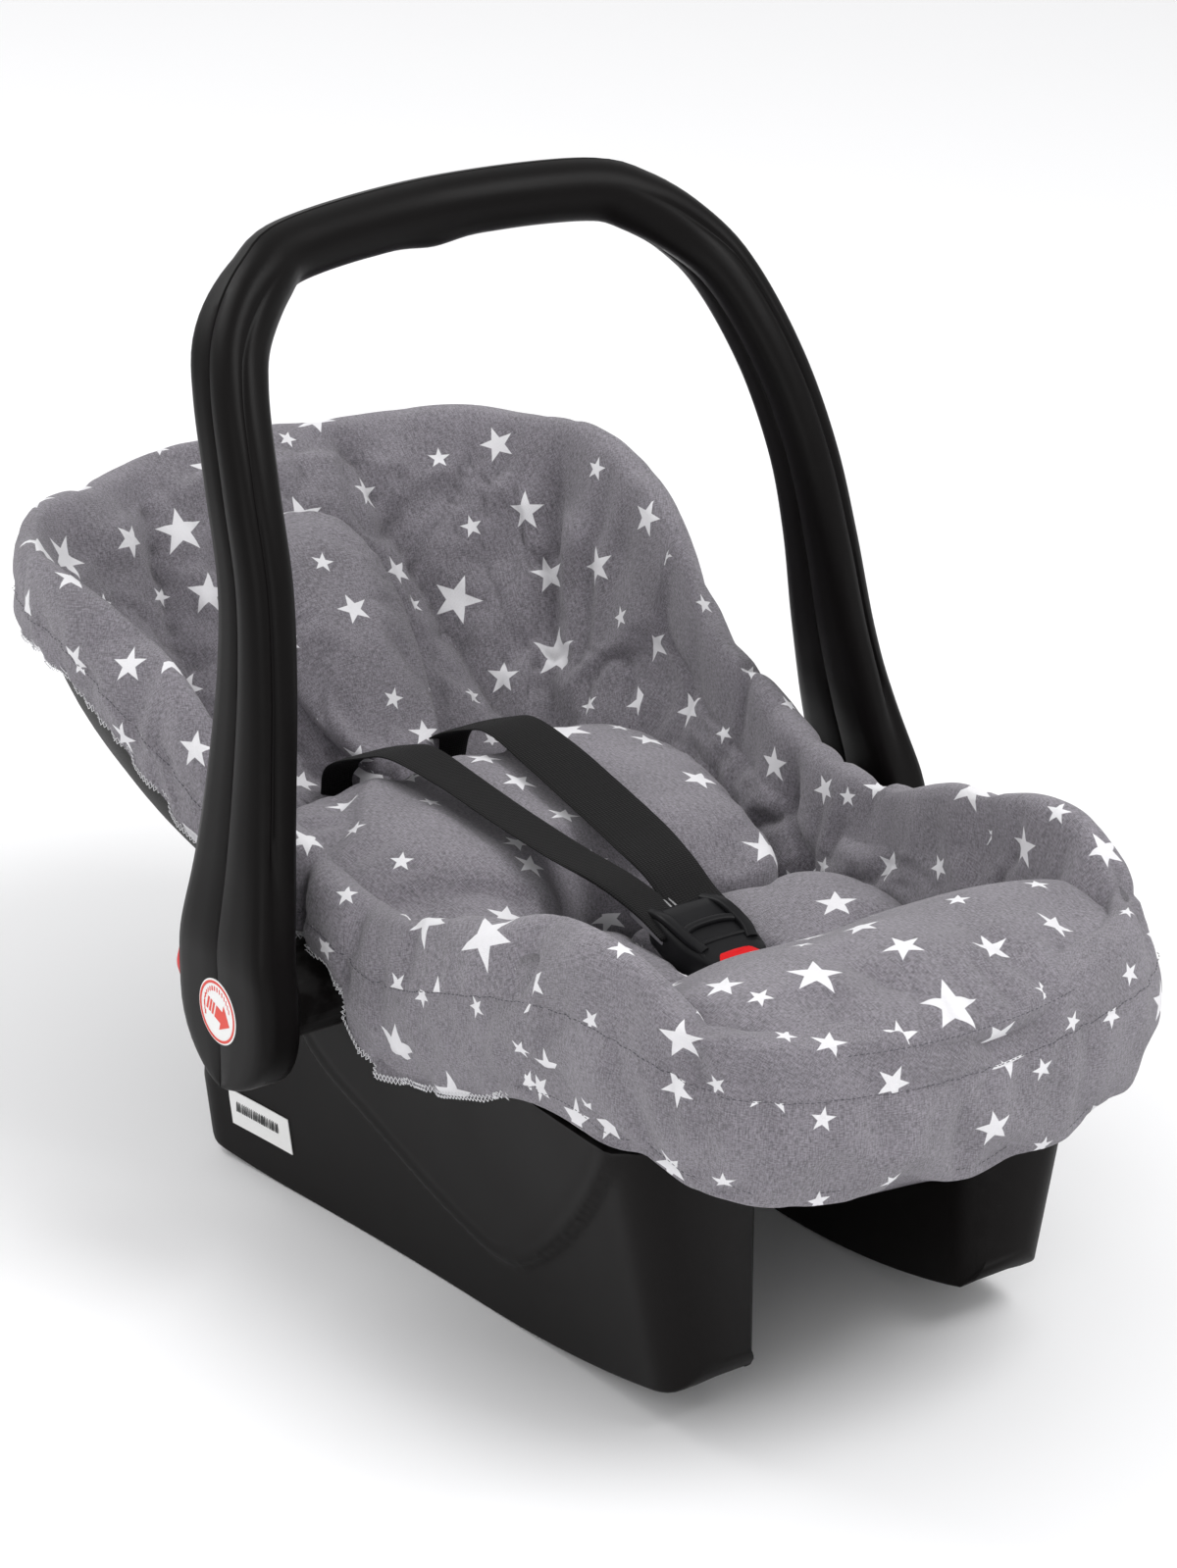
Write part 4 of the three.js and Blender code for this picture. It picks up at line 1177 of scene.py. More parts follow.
def rocker_wall(y, z, inset=0.0):
    """The rocker's outer face, leaning and rounded at both ends."""
    k = ROCKER
    share = np.clip((y - k["front"]) / (k["rear"] - k["front"]), 0, 1)
    foot = lerp(k["foot"], k["rear_foot"], share**2)
    top = lerp(k["top"], k["rear_top"], share**4)
    lean = foot + (top - foot) * z / k["height"]
    to_end = np.minimum(y - k["front"], k["rear"] - y) - inset
    short = np.clip(k["corner"] - to_end, 0, k["corner"])
    return lean - inset - (k["corner"] - np.sqrt(k["corner"] ** 2 - short**2))


def on_rocker(x, y, z):
    k = ROCKER
    to_rear = np.clip((y - k["flat_rear"]) / (k["rear"] - k["flat_rear"]), 0, 1)
    return np.stack(np.broadcast_arrays(x, y - to_rear * k["lean"] * np.maximum(z - k["lean_from"], 0), z),
                    -1)


EMBOSS_LINE = [
    (64, 150), (52, 118), (34, 99), (-5, 80), (-50, 59), (-88, 46), (-110, 45), (-132, 56), (-160, 79),
    (-195, 116),
    (-225, 155), (-236, 172),
]


def panel_rise(y, z, height):
    """How far the upper panel stands out of the rocker's wall, by side view place."""
    line = EMBOSS
    away = np.hypot(line[:, 0] - y, line[:, 1] - z)
    distance = away.min()
    above = z > np.interp(y, line[::-1, 0], line[::-1, 1], left=400, right=400)
    inside = smooth(-3.5, 3.5, distance if above else -distance)
    ridge = math.exp(-((distance / 2.2) ** 2))
    second = math.exp(-(((distance - 9) / 2.5) ** 2)) * (1 if above else 0)
    return height * float(inside) + 0.9 * ridge - 0.5 * second


EMBOSS = spline(EMBOSS_LINE, 260)


def under_bucket(x, y, tree):
    hit = tree.ray_cast(Vector((x, y, -200)), Vector((0, 0, 1)))
    return hit[0].z if hit[0] is not None else 1e3


def make_rocker(side, shell, material, tree):
    """One rocker side: its walls round an open underside, two ribs and the bosses of its screws."""
    k = ROCKER
    high = 56
    ends = k["corner"] * (1 - np.cos(np.linspace(0, np.pi / 2, 9)))
    along_y = np.concatenate([k["front"] + ends, np.linspace(k["front"] + 26, k["rear"] - 26, 150),
                              k["rear"] - ends[::-1]])
    inner_y = np.linspace(k["rear"], k["front"], 40)[1:-1]

    def loop(t, inset):
        """The wall's outline seen from above, at a share t of its height."""
        out = []
        for y in np.clip(along_y, k["front"] + inset, k["rear"] - inset):
            out.append((y, True))
        out += [(k["rear"] - inset, False)]
        out += [(y, False) for y in np.clip(inner_y, k["front"] + inset, k["rear"] - inset)]
        out += [(k["front"] + inset, False)]
        ring = []
        for y, outer in out:
            foot = foot_height(y) + end_rise(y)
            z = foot
            to_end = min(y - k["front"], k["rear"] - y)
            inner_round = 9 - math.sqrt(81 - max(9 - to_end, 0) ** 2) if to_end < 9 else 0
            x = k["inner"] + inset + inner_round
            if outer:
                x = float(rocker_wall(np.array(y), np.array(z), inset))
            x_in = k["inner"] + inset + inner_round
            x = max(x, x_in)
            top = k["height"]
            for _ in range(3):
                if outer:
                    x_top = max(float(rocker_wall(np.array(y), np.array(float(top)), inset)), x_in)
                else:
                    x_top = x
                place = on_rocker(x_top, y, top)
                top = min(k["height"], under_bucket(x_top, place[1], tree) + 1.4)
            z = foot + (top - foot) * t
            if outer:
                x = max(float(rocker_wall(np.array(y), np.array(float(z)), inset)), x_in)
                if inset == 0:
                    x += panel_rise(float(y), float(z), shell.emboss * 1000)
            ring.append(on_rocker(x, y, z))
        return np.array(ring)

    shares = np.linspace(0, 1, high)
    rows = [loop(0.0, 1.6), loop(0.001, 0.7),
            loop(0.005, 0.15)] + [loop(t, 0.0) for t in np.concatenate([[0.011], shares[1:]])]
    rows += [loop(t, k["wall"]) for t in (1.0, 0.75, 0.5, 0.25, 0.0)]
    points = np.array(rows)
    faces = grid_faces(len(rows), points.shape[1], close_rows=True)
    points = points.reshape(-1, 3) * (side, 1, 1)
    body = mesh_object("wall", points, faces, material)
    smoothed_edges(body, 50)
    parts = [body]
    for y in (k["flat_front"], k["flat_rear"]):
        top = lambda x: min(k["height"], under_bucket(x, y, tree) + 1.0)
        rings = []
        for y_side in (-1.5, 1.5):
            lower, upper = [], []
            for share in np.linspace(0, 1, 7):
                wall_low = float(rocker_wall(np.array(float(y)), np.array(20.0))) - 2
                wall_top = float(rocker_wall(np.array(float(y)), np.array(120.0))) - 2
                lower.append((lerp(k["inner"] + 2, wall_low, share), y + y_side,
                              14 + foot_height(np.array(float(y)))))
                x_up = lerp(k["inner"] + 2, wall_top, share)
                upper.append((x_up, y + y_side, top(x_up)))
            rings.append(lower + upper[::-1])
        parts.append(loft_object("rib", np.array(rings) * (side, 1, 1), material, shade=False))
        at = 104
        turn = np.linspace(0, 2 * np.pi, 24, endpoint=False)
        boss = []
        for radius, z in ((4.2, 62.4), (6.6, 62.4), (7, 63), (7, top(at))):
            boss.append(np.stack([side * (at + radius * np.cos(turn)), y + radius * np.sin(turn),
                                  np.full(24, z)], 1))
        parts.append(loft_object("boss", boss, material))
        smoothed_edges(parts[-1])
    return join(f"rocker_wall_{'left' if side < 0 else 'right'}", parts)


# ------------------------------------------------------------------ handle


def handle_line():
    """Middle line of the handle from the left hub over the grip, as rows of place and depth."""
    below = []
    for a in np.linspace(np.pi / 2, 0, 10):
        below.append((HUB_CENTRE_X, PIVOT_Y, PIVOT_Z - HUB_RADIUS * np.sin(a), 2 * HUB_RADIUS * np.cos(a)))
    below[0] = (HUB_CENTRE_X, PIVOT_Y, PIVOT_Z - HUB_RADIUS + 0.1, 7.0)
    right = spline([(HUB_CENTRE_X, PIVOT_Y, PIVOT_Z, 86), (HUB_CENTRE_X, PIVOT_Y, PIVOT_Z + 20, 86)] + ARM
                   + [GRIP_MIDDLE, (-88, 135, 511, 34)], 110)
    right = right[right[:, 0] > 1]
    right = np.vstack([below[:-1], right])
    left = right * (-1, 1, 1, 1)
    return np.vstack([left, [GRIP_MIDDLE], right[::-1]])


FRONT_SECTION = [
    (0.96, 0.00), (1.00, 0.05), (1.00, 0.30), (0.96, 0.52), (0.86, 0.70), (0.72, 0.81), (0.52, 0.87),
    (0.40, 0.875),
    (0.32, 0.845), (0.25, 0.86), (0.20, 0.91), (0.08, 0.975), (-0.12, 1.0), (-0.42, 1.0), (-0.70, 0.93),
    (-0.88, 0.80),
    (-0.97, 0.60), (-1.00, 0.35), (-1.00, 0.05), (-0.96, 0.00),
]
REAR_SECTION = [
    (0.96, 0.00), (1.00, 0.05), (1.00, 0.35), (1.00, 0.62), (0.97, 0.80), (0.90, 0.91), (0.78, 0.97),
    (0.55, 1.0),
    (0.30, 1.0), (0.10, 1.0), (-0.10, 1.0), (-0.30, 1.0), (-0.55, 1.0), (-0.72, 0.98), (-0.86, 0.93),
    (-0.94, 0.83),
    (-0.99, 0.66), (-1.00, 0.35), (-1.00, 0.05), (-0.96, 0.00),
]


def make_handle_half(front, material):
    """One half of the clamshell handle, swept along the handle's middle line."""
    line = handle_line()
    place = line[:, :3]
    tangent = np.gradient(place, axis=0)
    tangent /= np.linalg.norm(tangent, axis=1, keepdims=True)
    share = smooth(HUB_RADIUS + 70, HUB_RADIUS, np.abs(place[:, 2] - PIVOT_Z))[:, None]
    upright = np.stack([0 * place[:, 0], 0 * place[:, 0], np.where(place[:, 0] < 0, 1.0, -1.0)], 1)
    tangent = tangent * (1 - share) + upright * share
    tangent /= np.linalg.norm(tangent, axis=1, keepdims=True)
    depth = np.array((0, 1.0, 0)) - tangent * tangent[:, 1:2]
    depth /= np.linalg.norm(depth, axis=1, keepdims=True)
    side = np.cross(depth, tangent)
    outward = np.stack([place[:, 0], 0 * place[:, 0], 0 * place[:, 0] + 200], 1)
    centre_side = side * np.sign(np.sum(side * outward, 1, keepdims=True))
    section = np.array(FRONT_SECTION if front else REAR_SECTION)
    turn = np.arctan2(section[:, 1], section[:, 0])
    circle = np.stack([np.cos(turn), np.sin(turn)], 1)
    circle[0], circle[-1] = (0.965, 0.0), (-0.965, 0.0)
    to_grip = smooth(150, 105, np.abs(place[:, 0]))[:, None, None]
    in_hub = smooth(PIVOT_Z + HUB_RADIUS + 60, PIVOT_Z + HUB_RADIUS - 10, place[:, 2])[:, None, None]
    plain = section.copy()
    if front:
        plain = np.array(REAR_SECTION)
    shape = section[None] * (1 - in_hub) + plain[None] * in_hub
    shape = shape * (1 - to_grip) + circle[None] * to_grip
    half_thick = lerp(HUB_THICKNESS / 2, 16.8, smooth(178, 120, np.abs(place[:, 0])))
    half_depth = line[:, 3] / 2
    finger_bumps = 3.2 * np.exp(-((place[:, 0] / 34) ** 2)) * (0.6 + 0.4 * np.cos(place[:, 0] / 9.0))
    sign = -1.0 if front else 1.0
    rings = (place[:, None] + centre_side[:, None] * (shape[..., :1] * half_thick[:, None, None])
             + depth[:, None] * sign * (0.12 + shape[..., 1:] * half_depth[:, None, None]))
    under_grip = smooth(60, 20, np.abs(place[:, 0]))[:, None]
    rings[..., 2] -= finger_bumps[:, None] * np.clip(-shape[..., 0], 0, 1) * under_grip
    points, faces = loft_points(rings)
    name = "handle_shell_front" if front else "handle_shell_rear"
    piece = mesh_object(name, points, faces, material)
    smoothed_edges(piece, 38)
    return piece


# ------------------------------------------------------------------ small hard pieces


def superblock(width, length, thickness, corner=4.0, edge=1.5, count=48, dome=0.0):
    """Rings of a block with rounded corners in plan, rounded edges and a slightly domed top."""
    turn = np.linspace(0, 2 * np.pi, count, endpoint=False) + np.pi / count
    dx, dy = np.cos(turn), np.sin(turn)
    rings = []
    for z, inset in ((-thickness / 2, edge), (-thickness / 2 + edge * 0.3, edge * 0.3),
                     (-thickness / 2 + edge, 0),
                     (thickness / 2 - edge, 0), (thickness / 2 - edge * 0.3, edge * 0.3),
                     (thickness / 2, edge),
                     (thickness / 2 + dome * 0.6, width * 0.22), (thickness / 2 + dome, width * 0.38)):
        w, l = width / 2 - inset, length / 2 - inset
        c = max(corner - inset, 0.6)
        cw, cl = max(w - c, 0.01), max(l - c, 0.01)
        scale = np.minimum(cw / np.maximum(np.abs(dx), 1e-6), cl / np.maximum(np.abs(dy), 1e-6))
        x, y = dx * scale, dy * scale
        rings.append(np.stack([x + c * dx, y + c * dy, np.full(count, z)], 1))
    return np.array(rings)


def placed(rings, centre, tilt=0.0):
    """Turns rings about X by a tilt in degrees and sets them at a place."""
    a = math.radians(tilt)
    turned = np.array(rings, float)
    y, z = turned[..., 1].copy(), turned[..., 2].copy()
    turned[..., 1] = y * math.cos(a) - z * math.sin(a)
    turned[..., 2] = y * math.sin(a) + z * math.cos(a)
    return turned + np.array(centre, float)


BUCKLE = {"width": 46, "length": 56, "thickness": 18, "y": -108, "z": 188, "tilt": 12}


def on_buckle(across, lengthwise, up):
    """A place given in the buckle's own tilted axes."""
    place = np.array([[across, lengthwise, up]], float)
    return placed(place, (0, BUCKLE["y"], BUCKLE["z"]), BUCKLE["tilt"])[0]


def make_buckle(material, red):
    """The buckle's body with its ridges, and its press button."""
    b = BUCKLE
    body = superblock(b["width"], b["length"], b["thickness"], corner=9, edge=3.2, dome=0.8)
    middle = body[..., 1] / (b["length"] / 2)
    body[..., 0] *= 1 - 0.10 * np.clip(-middle, 0, 1) ** 2 + 0.06 * np.clip(middle, 0, 1)
    shell = loft_object("body", placed(body, (0, b["y"], b["z"]), b["tilt"]), material)
    parts = [shell]
    for x in (-1, 1):
        route = spline([on_buckle(x * 16, 30, 5), on_buckle(x * 18, 16, 10.2),
                        on_buckle(x * 17.5, -4, 10.6), on_buckle(x * 15, -14, 9.0)], 24)
        parts.append(loft_object("ridge", swept(route, (1, 0, 0), 6.5, 4.5, 16, 0.8), material))
    bar = spline([on_buckle(-19, 2, 9.4), on_buckle(-8, 5, 10.6), on_buckle(8, 5, 10.6),
                  on_buckle(19, 2, 9.4)], 28)
    parts.append(loft_object("bridge", swept(bar, (0, 1, 0.2), 5, 4, 16, 0.8), material))
    frame_line = spline([on_buckle(-16.5, -26, 6), on_buckle(-17, -12, 8.6), on_buckle(-12, -8.6, 9.3),
                         on_buckle(12, -8.6, 9.3),
                         on_buckle(17, -12, 8.6), on_buckle(16.5, -26, 6)], 60)
    parts.append(loft_object("button_frame", swept(frame_line, (0, 0, 1), 3.0, 3.0, 12, 0.9), material))
    buckle = join("buckle_shell", parts)
    smoothed_edges(buckle, 50)
    block = superblock(28, 18, 8.6, corner=4, edge=1.6, dome=0.9)
    button = loft_object("buckle_press", placed(block, on_buckle(0, -22.5, 4.7), b["tilt"]), red)
    smoothed_edges(button, 50)
    return buckle, button


def strap_map(piece, rings):
    """A map named cloth along the webbing, in metres."""
    rings = np.asarray(rings)
    middle = rings.mean(1)
    length = np.concatenate([[0], np.cumsum(np.linalg.norm(np.diff(middle, axis=0), axis=1))]) / 1000
    mesh = piece.data
    layer = mesh.uv_layers.new(name="cloth")
    tree = KDTree(len(middle))
    points = to_frame(middle)
    for k, point in enumerate(points):
        tree.insert(point, k)
    tree.balance()
    for loop in mesh.loops:
        co = mesh.vertices[loop.vertex_index].co
        _, k, _ = tree.find(co)
        layer.data[loop.index].uv = (co.x - points[k][0], length[k])


def webbing_route(side):
    """One shoulder strap's line from its slot in the back to the buckle."""
    slot_at = bowl(np.array([0.0]), np.array([0.37]), -BUCKET_WALL / 2)[0]
    x = side * 32.0
    return [
        (x, slot_at[1] + 2, slot_at[2] - 24), (x, slot_at[1], slot_at[2]),
        (x * 1.04, slot_at[1] - 9, slot_at[2] + 20),
        (x * 1.06, 142, 214), (x * 1.02, 118, 221), (x * 0.94, 80, 219), (x * 0.84, 36, 214),
        (x * 0.70, -10, 209),
        (x * 0.52, -48, 205), tuple(on_buckle(side * 12, BUCKLE["length"] / 2 + 4, 3)),
        tuple(on_buckle(side * 12, 8, 2)),
    ]


def make_straps(harness, material):
    """Both shoulder straps and the crotch strap."""
    width, thick = harness.width * 1000, harness.thickness * 1000
    made = []
    for side, where in ((-1, "left"), (1, "right")):
        route = spline(webbing_route(side), 150)
        near = smooth(-10, -60, route[:, 1])
        across = np.stack([np.ones(len(route)), -side * 0.16 * smooth(150, 0, route[:, 1]),
                           side * 0.20 * smooth(150, 60, route[:, 1])], 1)
        rings = swept(route, across, width - 3 * near, thick * (1 + 0.9 * near), 20, 0.5)
        piece = loft_object(f"shoulder_webbing_{where}", rings, material)
        strap_map(piece, rings)
        made.append(piece)
    crotch_at = bowl(np.array([0.5]), np.array([0.3]), -BUCKET_WALL / 2)[0]
    route = spline([
        (0, crotch_at[1] + 1, crotch_at[2] - 16), (0, crotch_at[1], crotch_at[2] + 4),
        (0, crotch_at[1] - 8, crotch_at[2] + 28),
        tuple(on_buckle(0, -36, -3.5)), tuple(on_buckle(0, -28, -3.5)), tuple(on_buckle(0, -12, -3.5)),
    ], 60)
    rings = swept(route, (1, 0, 0), width + 1, thick, 20, 0.5)
    piece = loft_object("crotch_webbing", rings, material)
    strap_map(piece, rings)
    made.append(piece)
    return made


def disc_rings(side, x_start, profile, y, z, count=72):
    """Rings about X: profile rows are (radius, offset outwards)."""
    turn = np.linspace(0, 2 * np.pi, count, endpoint=False)
    return np.array([
        np.stack([np.full(count, side * (x_start + off)), y + r * np.cos(turn), z + r * np.sin(turn)], 1)
        for r, off in profile
    ])


def flat_shape(name, side, outline, x, thickness, material):
    """A thin plate whose outline is given in the hub's side view, as (towards the foot, up)."""
    outline = np.array(outline, float)
    rings = []
    for off in (0, thickness):
        rings.append(np.stack([np.full(len(outline), side * (x + off)), PIVOT_Y - outline[:, 0],
                               PIVOT_Z + outline[:, 1]], 1))
    points = np.vstack(rings)
    n = len(outline)
    faces = [(j, (j + 1) % n, n + (j + 1) % n, n + j) for j in range(n)]
    faces += [tuple(range(n - 1, -1, -1)), tuple(range(n, 2 * n))]
    return mesh_object(name, points, faces, material, shade=False)


def make_label(side, paper, red):
    """The round label of one hub: a red hoop, an arrow and three stripes on paper."""
    where = "left" if side < 0 else "right"
    x = HUB_FACE - 0.45
    base = loft_object("disc", disc_rings(side, x,
                                          [(17.2, 0), (17.8, 0.25), (17.8, 0.6), (17.5, 0.8), (12, 0.8),
                                           (4, 0.8)], PIVOT_Y, PIVOT_Z), paper)
    hoop = disc_rings(side, x, [(16.9, 0.78), (16.8, 1.0), (15.5, 1.0), (15.4, 0.78)], PIVOT_Y, PIVOT_Z)
    count = hoop.shape[1]
    ring = mesh_object("ring", hoop.reshape(-1, 3), grid_faces(4, count, close_rows=True), red)
    parts = [base, ring]
    a = math.radians(-18)

    def turned(outline):
        return [(px * math.cos(a) - py * math.sin(a), px * math.sin(a) + py * math.cos(a)) for px,
                py in outline]

    arrow = turned([(12.5, -0.5), (4.5, 7.5), (4.5, 3.2), (-1.5, 3.2), (-1.5, -4.2), (4.5, -4.2),
                    (4.5, -8.5)])
    parts.append(flat_shape("arrow", side, arrow, x + 0.78, 0.22, red))
    for k in range(3):
        left = -3.0 - k * 2.6
        stripe = turned([(left, 3.2), (left - 1.5, 3.2), (left - 1.5, -4.2), (left, -4.2)])
        parts.append(flat_shape("stripe", side, stripe, x + 0.78, 0.22, red))
    return join(f"label_print_{where}", parts)


def make_release(side, red):
    """The red release button of one hub."""
    where = "left" if side < 0 else "right"
    lowest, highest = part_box(f"release_button_{where}")
    centre = ((lowest.x + highest.x) * 500, (lowest.y + highest.y) * 500 - SHIFT_Y,
              (lowest.z + highest.z) * 500)
    block = superblock(14, 20, 25, corner=4, edge=1.8, dome=1.0)
    rings = np.stack([block[..., 0], block[..., 2], block[..., 1]], -1) + np.array(centre)
    button = loft_object(f"release_press_{where}", rings, red)
    smoothed_edges(button, 50)
    return button


STICKER = {"y": 105, "z": 37}


def make_barcode_label(paper):
    """The sticker's sheet, bent over the left rocker side."""
    rows = []
    high, wide = 5, 14
    for off in (0.25, 0.75):
        for z in np.linspace(STICKER["z"] - 11, STICKER["z"] + 11, high):
            y = np.linspace(STICKER["y"] - 25, STICKER["y"] + 25, wide)
            x = -rocker_wall(y, np.full_like(y, z)) - off
            rows.append(on_rocker(x, y, np.full_like(y, z)))
    points = np.array(rows).reshape(-1, 3)
    n = high * wide
    faces = []
    for base, flip in ((0, False), (n, True)):
        for i in range(high - 1):
            for j in range(wide - 1):
                corner = base + i * wide + j
                quad = [corner, corner + 1, corner + wide + 1, corner + wide]
                faces.append(quad[::-1] if flip else quad)
    border = [(0, j) for j in range(wide)] + [(i, wide - 1) for i in range(1, high)]
    border += [(high - 1, j) for j in range(wide - 2, -1, -1)] + [(i, 0) for i in range(high - 2, 0, -1)]
    ids = [i * wide + j for i, j in border]
    for a, b in zip(ids, ids[1:] + ids[:1]):
        faces.append([b, a, a + n, b + n])
    return mesh_object("sticker_sheet", points, faces, paper, shade=False)


# ------------------------------------------------------------------ geometry nodes for what repeats


def repeat_tree(name, inputs):
    """An empty geometry tree with a geometry input and output and the named sizes."""
    tree = bpy.data.node_groups.new(name, "GeometryNodeTree")
    tree.interface.new_socket("Geometry", in_out="INPUT", socket_type="NodeSocketGeometry")
    for label, kind, default in inputs:
        socket = tree.interface.new_socket(label, in_out="INPUT", socket_type=kind)
        if default is not None:
            socket.default_value = default
    tree.interface.new_socket("Geometry", in_out="OUTPUT", socket_type="NodeSocketGeometry")
    nodes = Nodes(tree)
    return tree, nodes, nodes.add("NodeGroupInput").outputs, nodes.add("NodeGroupOutput").inputs


def thread_tree():
    """Stitches laid along a line: small rounded lengths of thread, alternately turned."""
    tree, n, given, result = repeat_tree("Thread Along Line", [
        ("Pitch", "NodeSocketFloat", 0.003), ("Length", "NodeSocketFloat", 0.0022),
        ("Thread", "NodeSocketFloat", 0.0004),
        ("Slant", "NodeSocketFloat", 0.0), ("Material", "NodeSocketMaterial", None)])
    curve = n.add("GeometryNodeMeshToCurve")
    n.put(curve.inputs[0], given["Geometry"])
    points = n.add("GeometryNodeResampleCurve", mode="LENGTH")
    n.put(points.inputs["Curve"], curve.outputs[0])
    n.put(points.inputs["Length"], given["Pitch"])
    thread = n.add("GeometryNodeMeshUVSphere")
    thread.inputs["Segments"].default_value = 6
    thread.inputs["Rings"].default_value = 4
    thread.inputs["Radius"].default_value = 0.5
    shape = n.add("ShaderNodeCombineXYZ")
    n.put(shape.inputs[0], given["Thread"])
    n.put(shape.inputs[1], given["Thread"])
    n.put(shape.inputs[2], given["Length"])
    tangent = n.add("GeometryNodeInputTangent").outputs[0]
    align = n.add("FunctionNodeAlignEulerToVector", axis="Z")
    n.put(align.inputs["Vector"], tangent)
    index = n.add("GeometryNodeInputIndex").outputs[0]
    swing = n.math("SUBTRACT", n.math("MULTIPLY", n.math("MODULO", index, 2.0), 2.0), 1.0)
    slant = n.add("ShaderNodeCombineXYZ")
    n.put(slant.inputs[0], n.math("MULTIPLY", swing, given["Slant"]))
    n.put(slant.inputs[1], n.math("MULTIPLY", swing, n.math("MULTIPLY", given["Slant"], 0.6)))
    turned = n.add("FunctionNodeRotateEuler", space="LOCAL")
    n.put(turned.inputs[0], align.outputs[0])
    n.put(turned.inputs[1], slant.outputs[0])
    copies = n.add("GeometryNodeInstanceOnPoints")
    n.put(copies.inputs["Points"], points.outputs[0])
    n.put(copies.inputs["Instance"], thread.outputs[0])
    n.put(copies.inputs["Rotation"], turned.outputs[0])
    n.put(copies.inputs["Scale"], shape.outputs[0])
    real = n.add("GeometryNodeRealizeInstances")
    n.put(real.inputs[0], copies.outputs[0])
    paint = n.add("GeometryNodeSetMaterial")
    n.put(paint.inputs["Geometry"], real.outputs[0])
    n.put(paint.inputs["Material"], given["Material"])
    n.put(result["Geometry"], paint.outputs[0])
    return tree


def bars_tree():
    """Upright bars of random width side by side along X of each point, with a fixed seed."""
    tree, n, given, result = repeat_tree("Printed Bars", [
        ("Narrow", "NodeSocketFloat", 0.0004), ("Wide", "NodeSocketFloat", 0.0012),
        ("Height", "NodeSocketFloat", 0.01),
        ("Seed", "NodeSocketInt", 3), ("Material", "NodeSocketMaterial", None)])
    bar = n.add("GeometryNodeMeshCube")
    size = n.add("FunctionNodeRandomValue", data_type="FLOAT")
    n.put(size.inputs[2], given["Narrow"])
    n.put(size.inputs[3], given["Wide"])
    n.put(size.inputs["Seed"], given["Seed"])
    shape = n.add("ShaderNodeCombineXYZ")
    shape.inputs[0].default_value = 0.0002
    n.put(shape.inputs[1], size.outputs[1])
    n.put(shape.inputs[2], given["Height"])
    copies = n.add("GeometryNodeInstanceOnPoints")
    n.put(copies.inputs["Points"], given["Geometry"])
    n.put(copies.inputs["Instance"], bar.outputs[0])
    n.put(copies.inputs["Scale"], shape.outputs[0])
    real = n.add("GeometryNodeRealizeInstances")
    n.put(real.inputs[0], copies.outputs[0])
    paint = n.add("GeometryNodeSetMaterial")
    n.put(paint.inputs["Geometry"], real.outputs[0])
    n.put(paint.inputs["Material"], given["Material"])
    n.put(result["Geometry"], paint.outputs[0])
    return tree


TREES = {}


def grown(name, points, edges, tree_name, **values):
    """A plain mesh grown by a geometry tree from points and edges given in frame metres."""
    if tree_name not in TREES:
        TREES[tree_name] = {"thread": thread_tree, "bars": bars_tree}[tree_name]()
    mesh = bpy.data.meshes.new(name)
    mesh.from_pydata([tuple(p) for p in points], [tuple(int(i) for i in e) for e in edges], [])
    piece = bpy.data.objects.new(name, mesh)
    bpy.context.scene.collection.objects.link(piece)
    grow = piece.modifiers.new("grow", "NODES")
    tree = TREES[tree_name]
    sockets = {item.name: item.identifier for item in tree.interface.items_tree if item.in_out == "INPUT"}
    grow.node_group = tree
    for key, value in values.items():
        grow[sockets[key]] = value
    flatten(piece)
    if "Material" in values:
        for index, slot_material in enumerate(piece.data.materials):
            if slot_material is None:
                piece.data.materials[index] = values["Material"]
    return piece


def line_edges(count, closed=False):
    """Edges that join points in their order."""
    return [(k, (k + 1) % count) for k in range(count if closed else count - 1)]


def make_stitches(white, grey):
    """Serged hem thread on the near side, a plain hem thread elsewhere, and seam threads round the rim and
    along the leg pad's front.
    """
    hem = LINES["hem"]
    out = hem - hem.mean(0)
    out[:, 2] = 0
    out /= np.linalg.norm(out, axis=1, keepdims=True)
    pieces = []
    count = len(hem)
    low_line = hem + out * 0.0004 + (0, 0, -0.0004)
    open_hem = low_line[:, 1] > -0.175
    edges = [(a, b) for a, b in line_edges(count, True) if open_hem[a] and open_hem[b]]
    for row, shift in ((0, 0.0), (1, 0.0022)):
        pieces.append(grown(f"hem_overlock_{row + 1}", low_line + (0, 0, shift) + out * shift * 0.1, edges,
                            "thread",
                            Pitch=0.0013, Length=0.0028, Thread=0.0005, Slant=0.95, Material=white))
    edges = [(a, b) for a, b in line_edges(count, True) if not (open_hem[a] and open_hem[b])]
    pieces.append(grown("hem_thread", low_line + (0, 0, 0.008) + out * 0.0006, edges, "thread",
                        Pitch=0.0030, Length=0.0022, Thread=0.0004, Slant=0.0, Material=grey))
    front = LINES["leg_pad_cushion"]
    edges = [(a, b) for a, b in line_edges(len(front), True) if front[a][1] < -0.27 and front[b][1] < -0.27]
    pieces.append(grown("leg_pad_seam_thread", front * (1.002, 1.002, 1) + (0, 0, 0.0012), edges, "thread",
                        Pitch=0.0030, Length=0.0022, Thread=0.0005, Slant=0.0, Material=grey))
    seam = LINES["crest"]
    out = seam - seam.mean(0)
    out[:, 2] = 0
    out /= np.linalg.norm(out, axis=1, keepdims=True)
    pieces.append(grown("rim_seam_thread", seam + out * 0.0007, line_edges(len(seam), True), "thread",
                        Pitch=0.0030, Length=0.0022, Thread=0.0005, Slant=0.0, Material=grey))
    return pieces


# ------------------------------------------------------------------ finishes, operators and panel

FINISH = {}


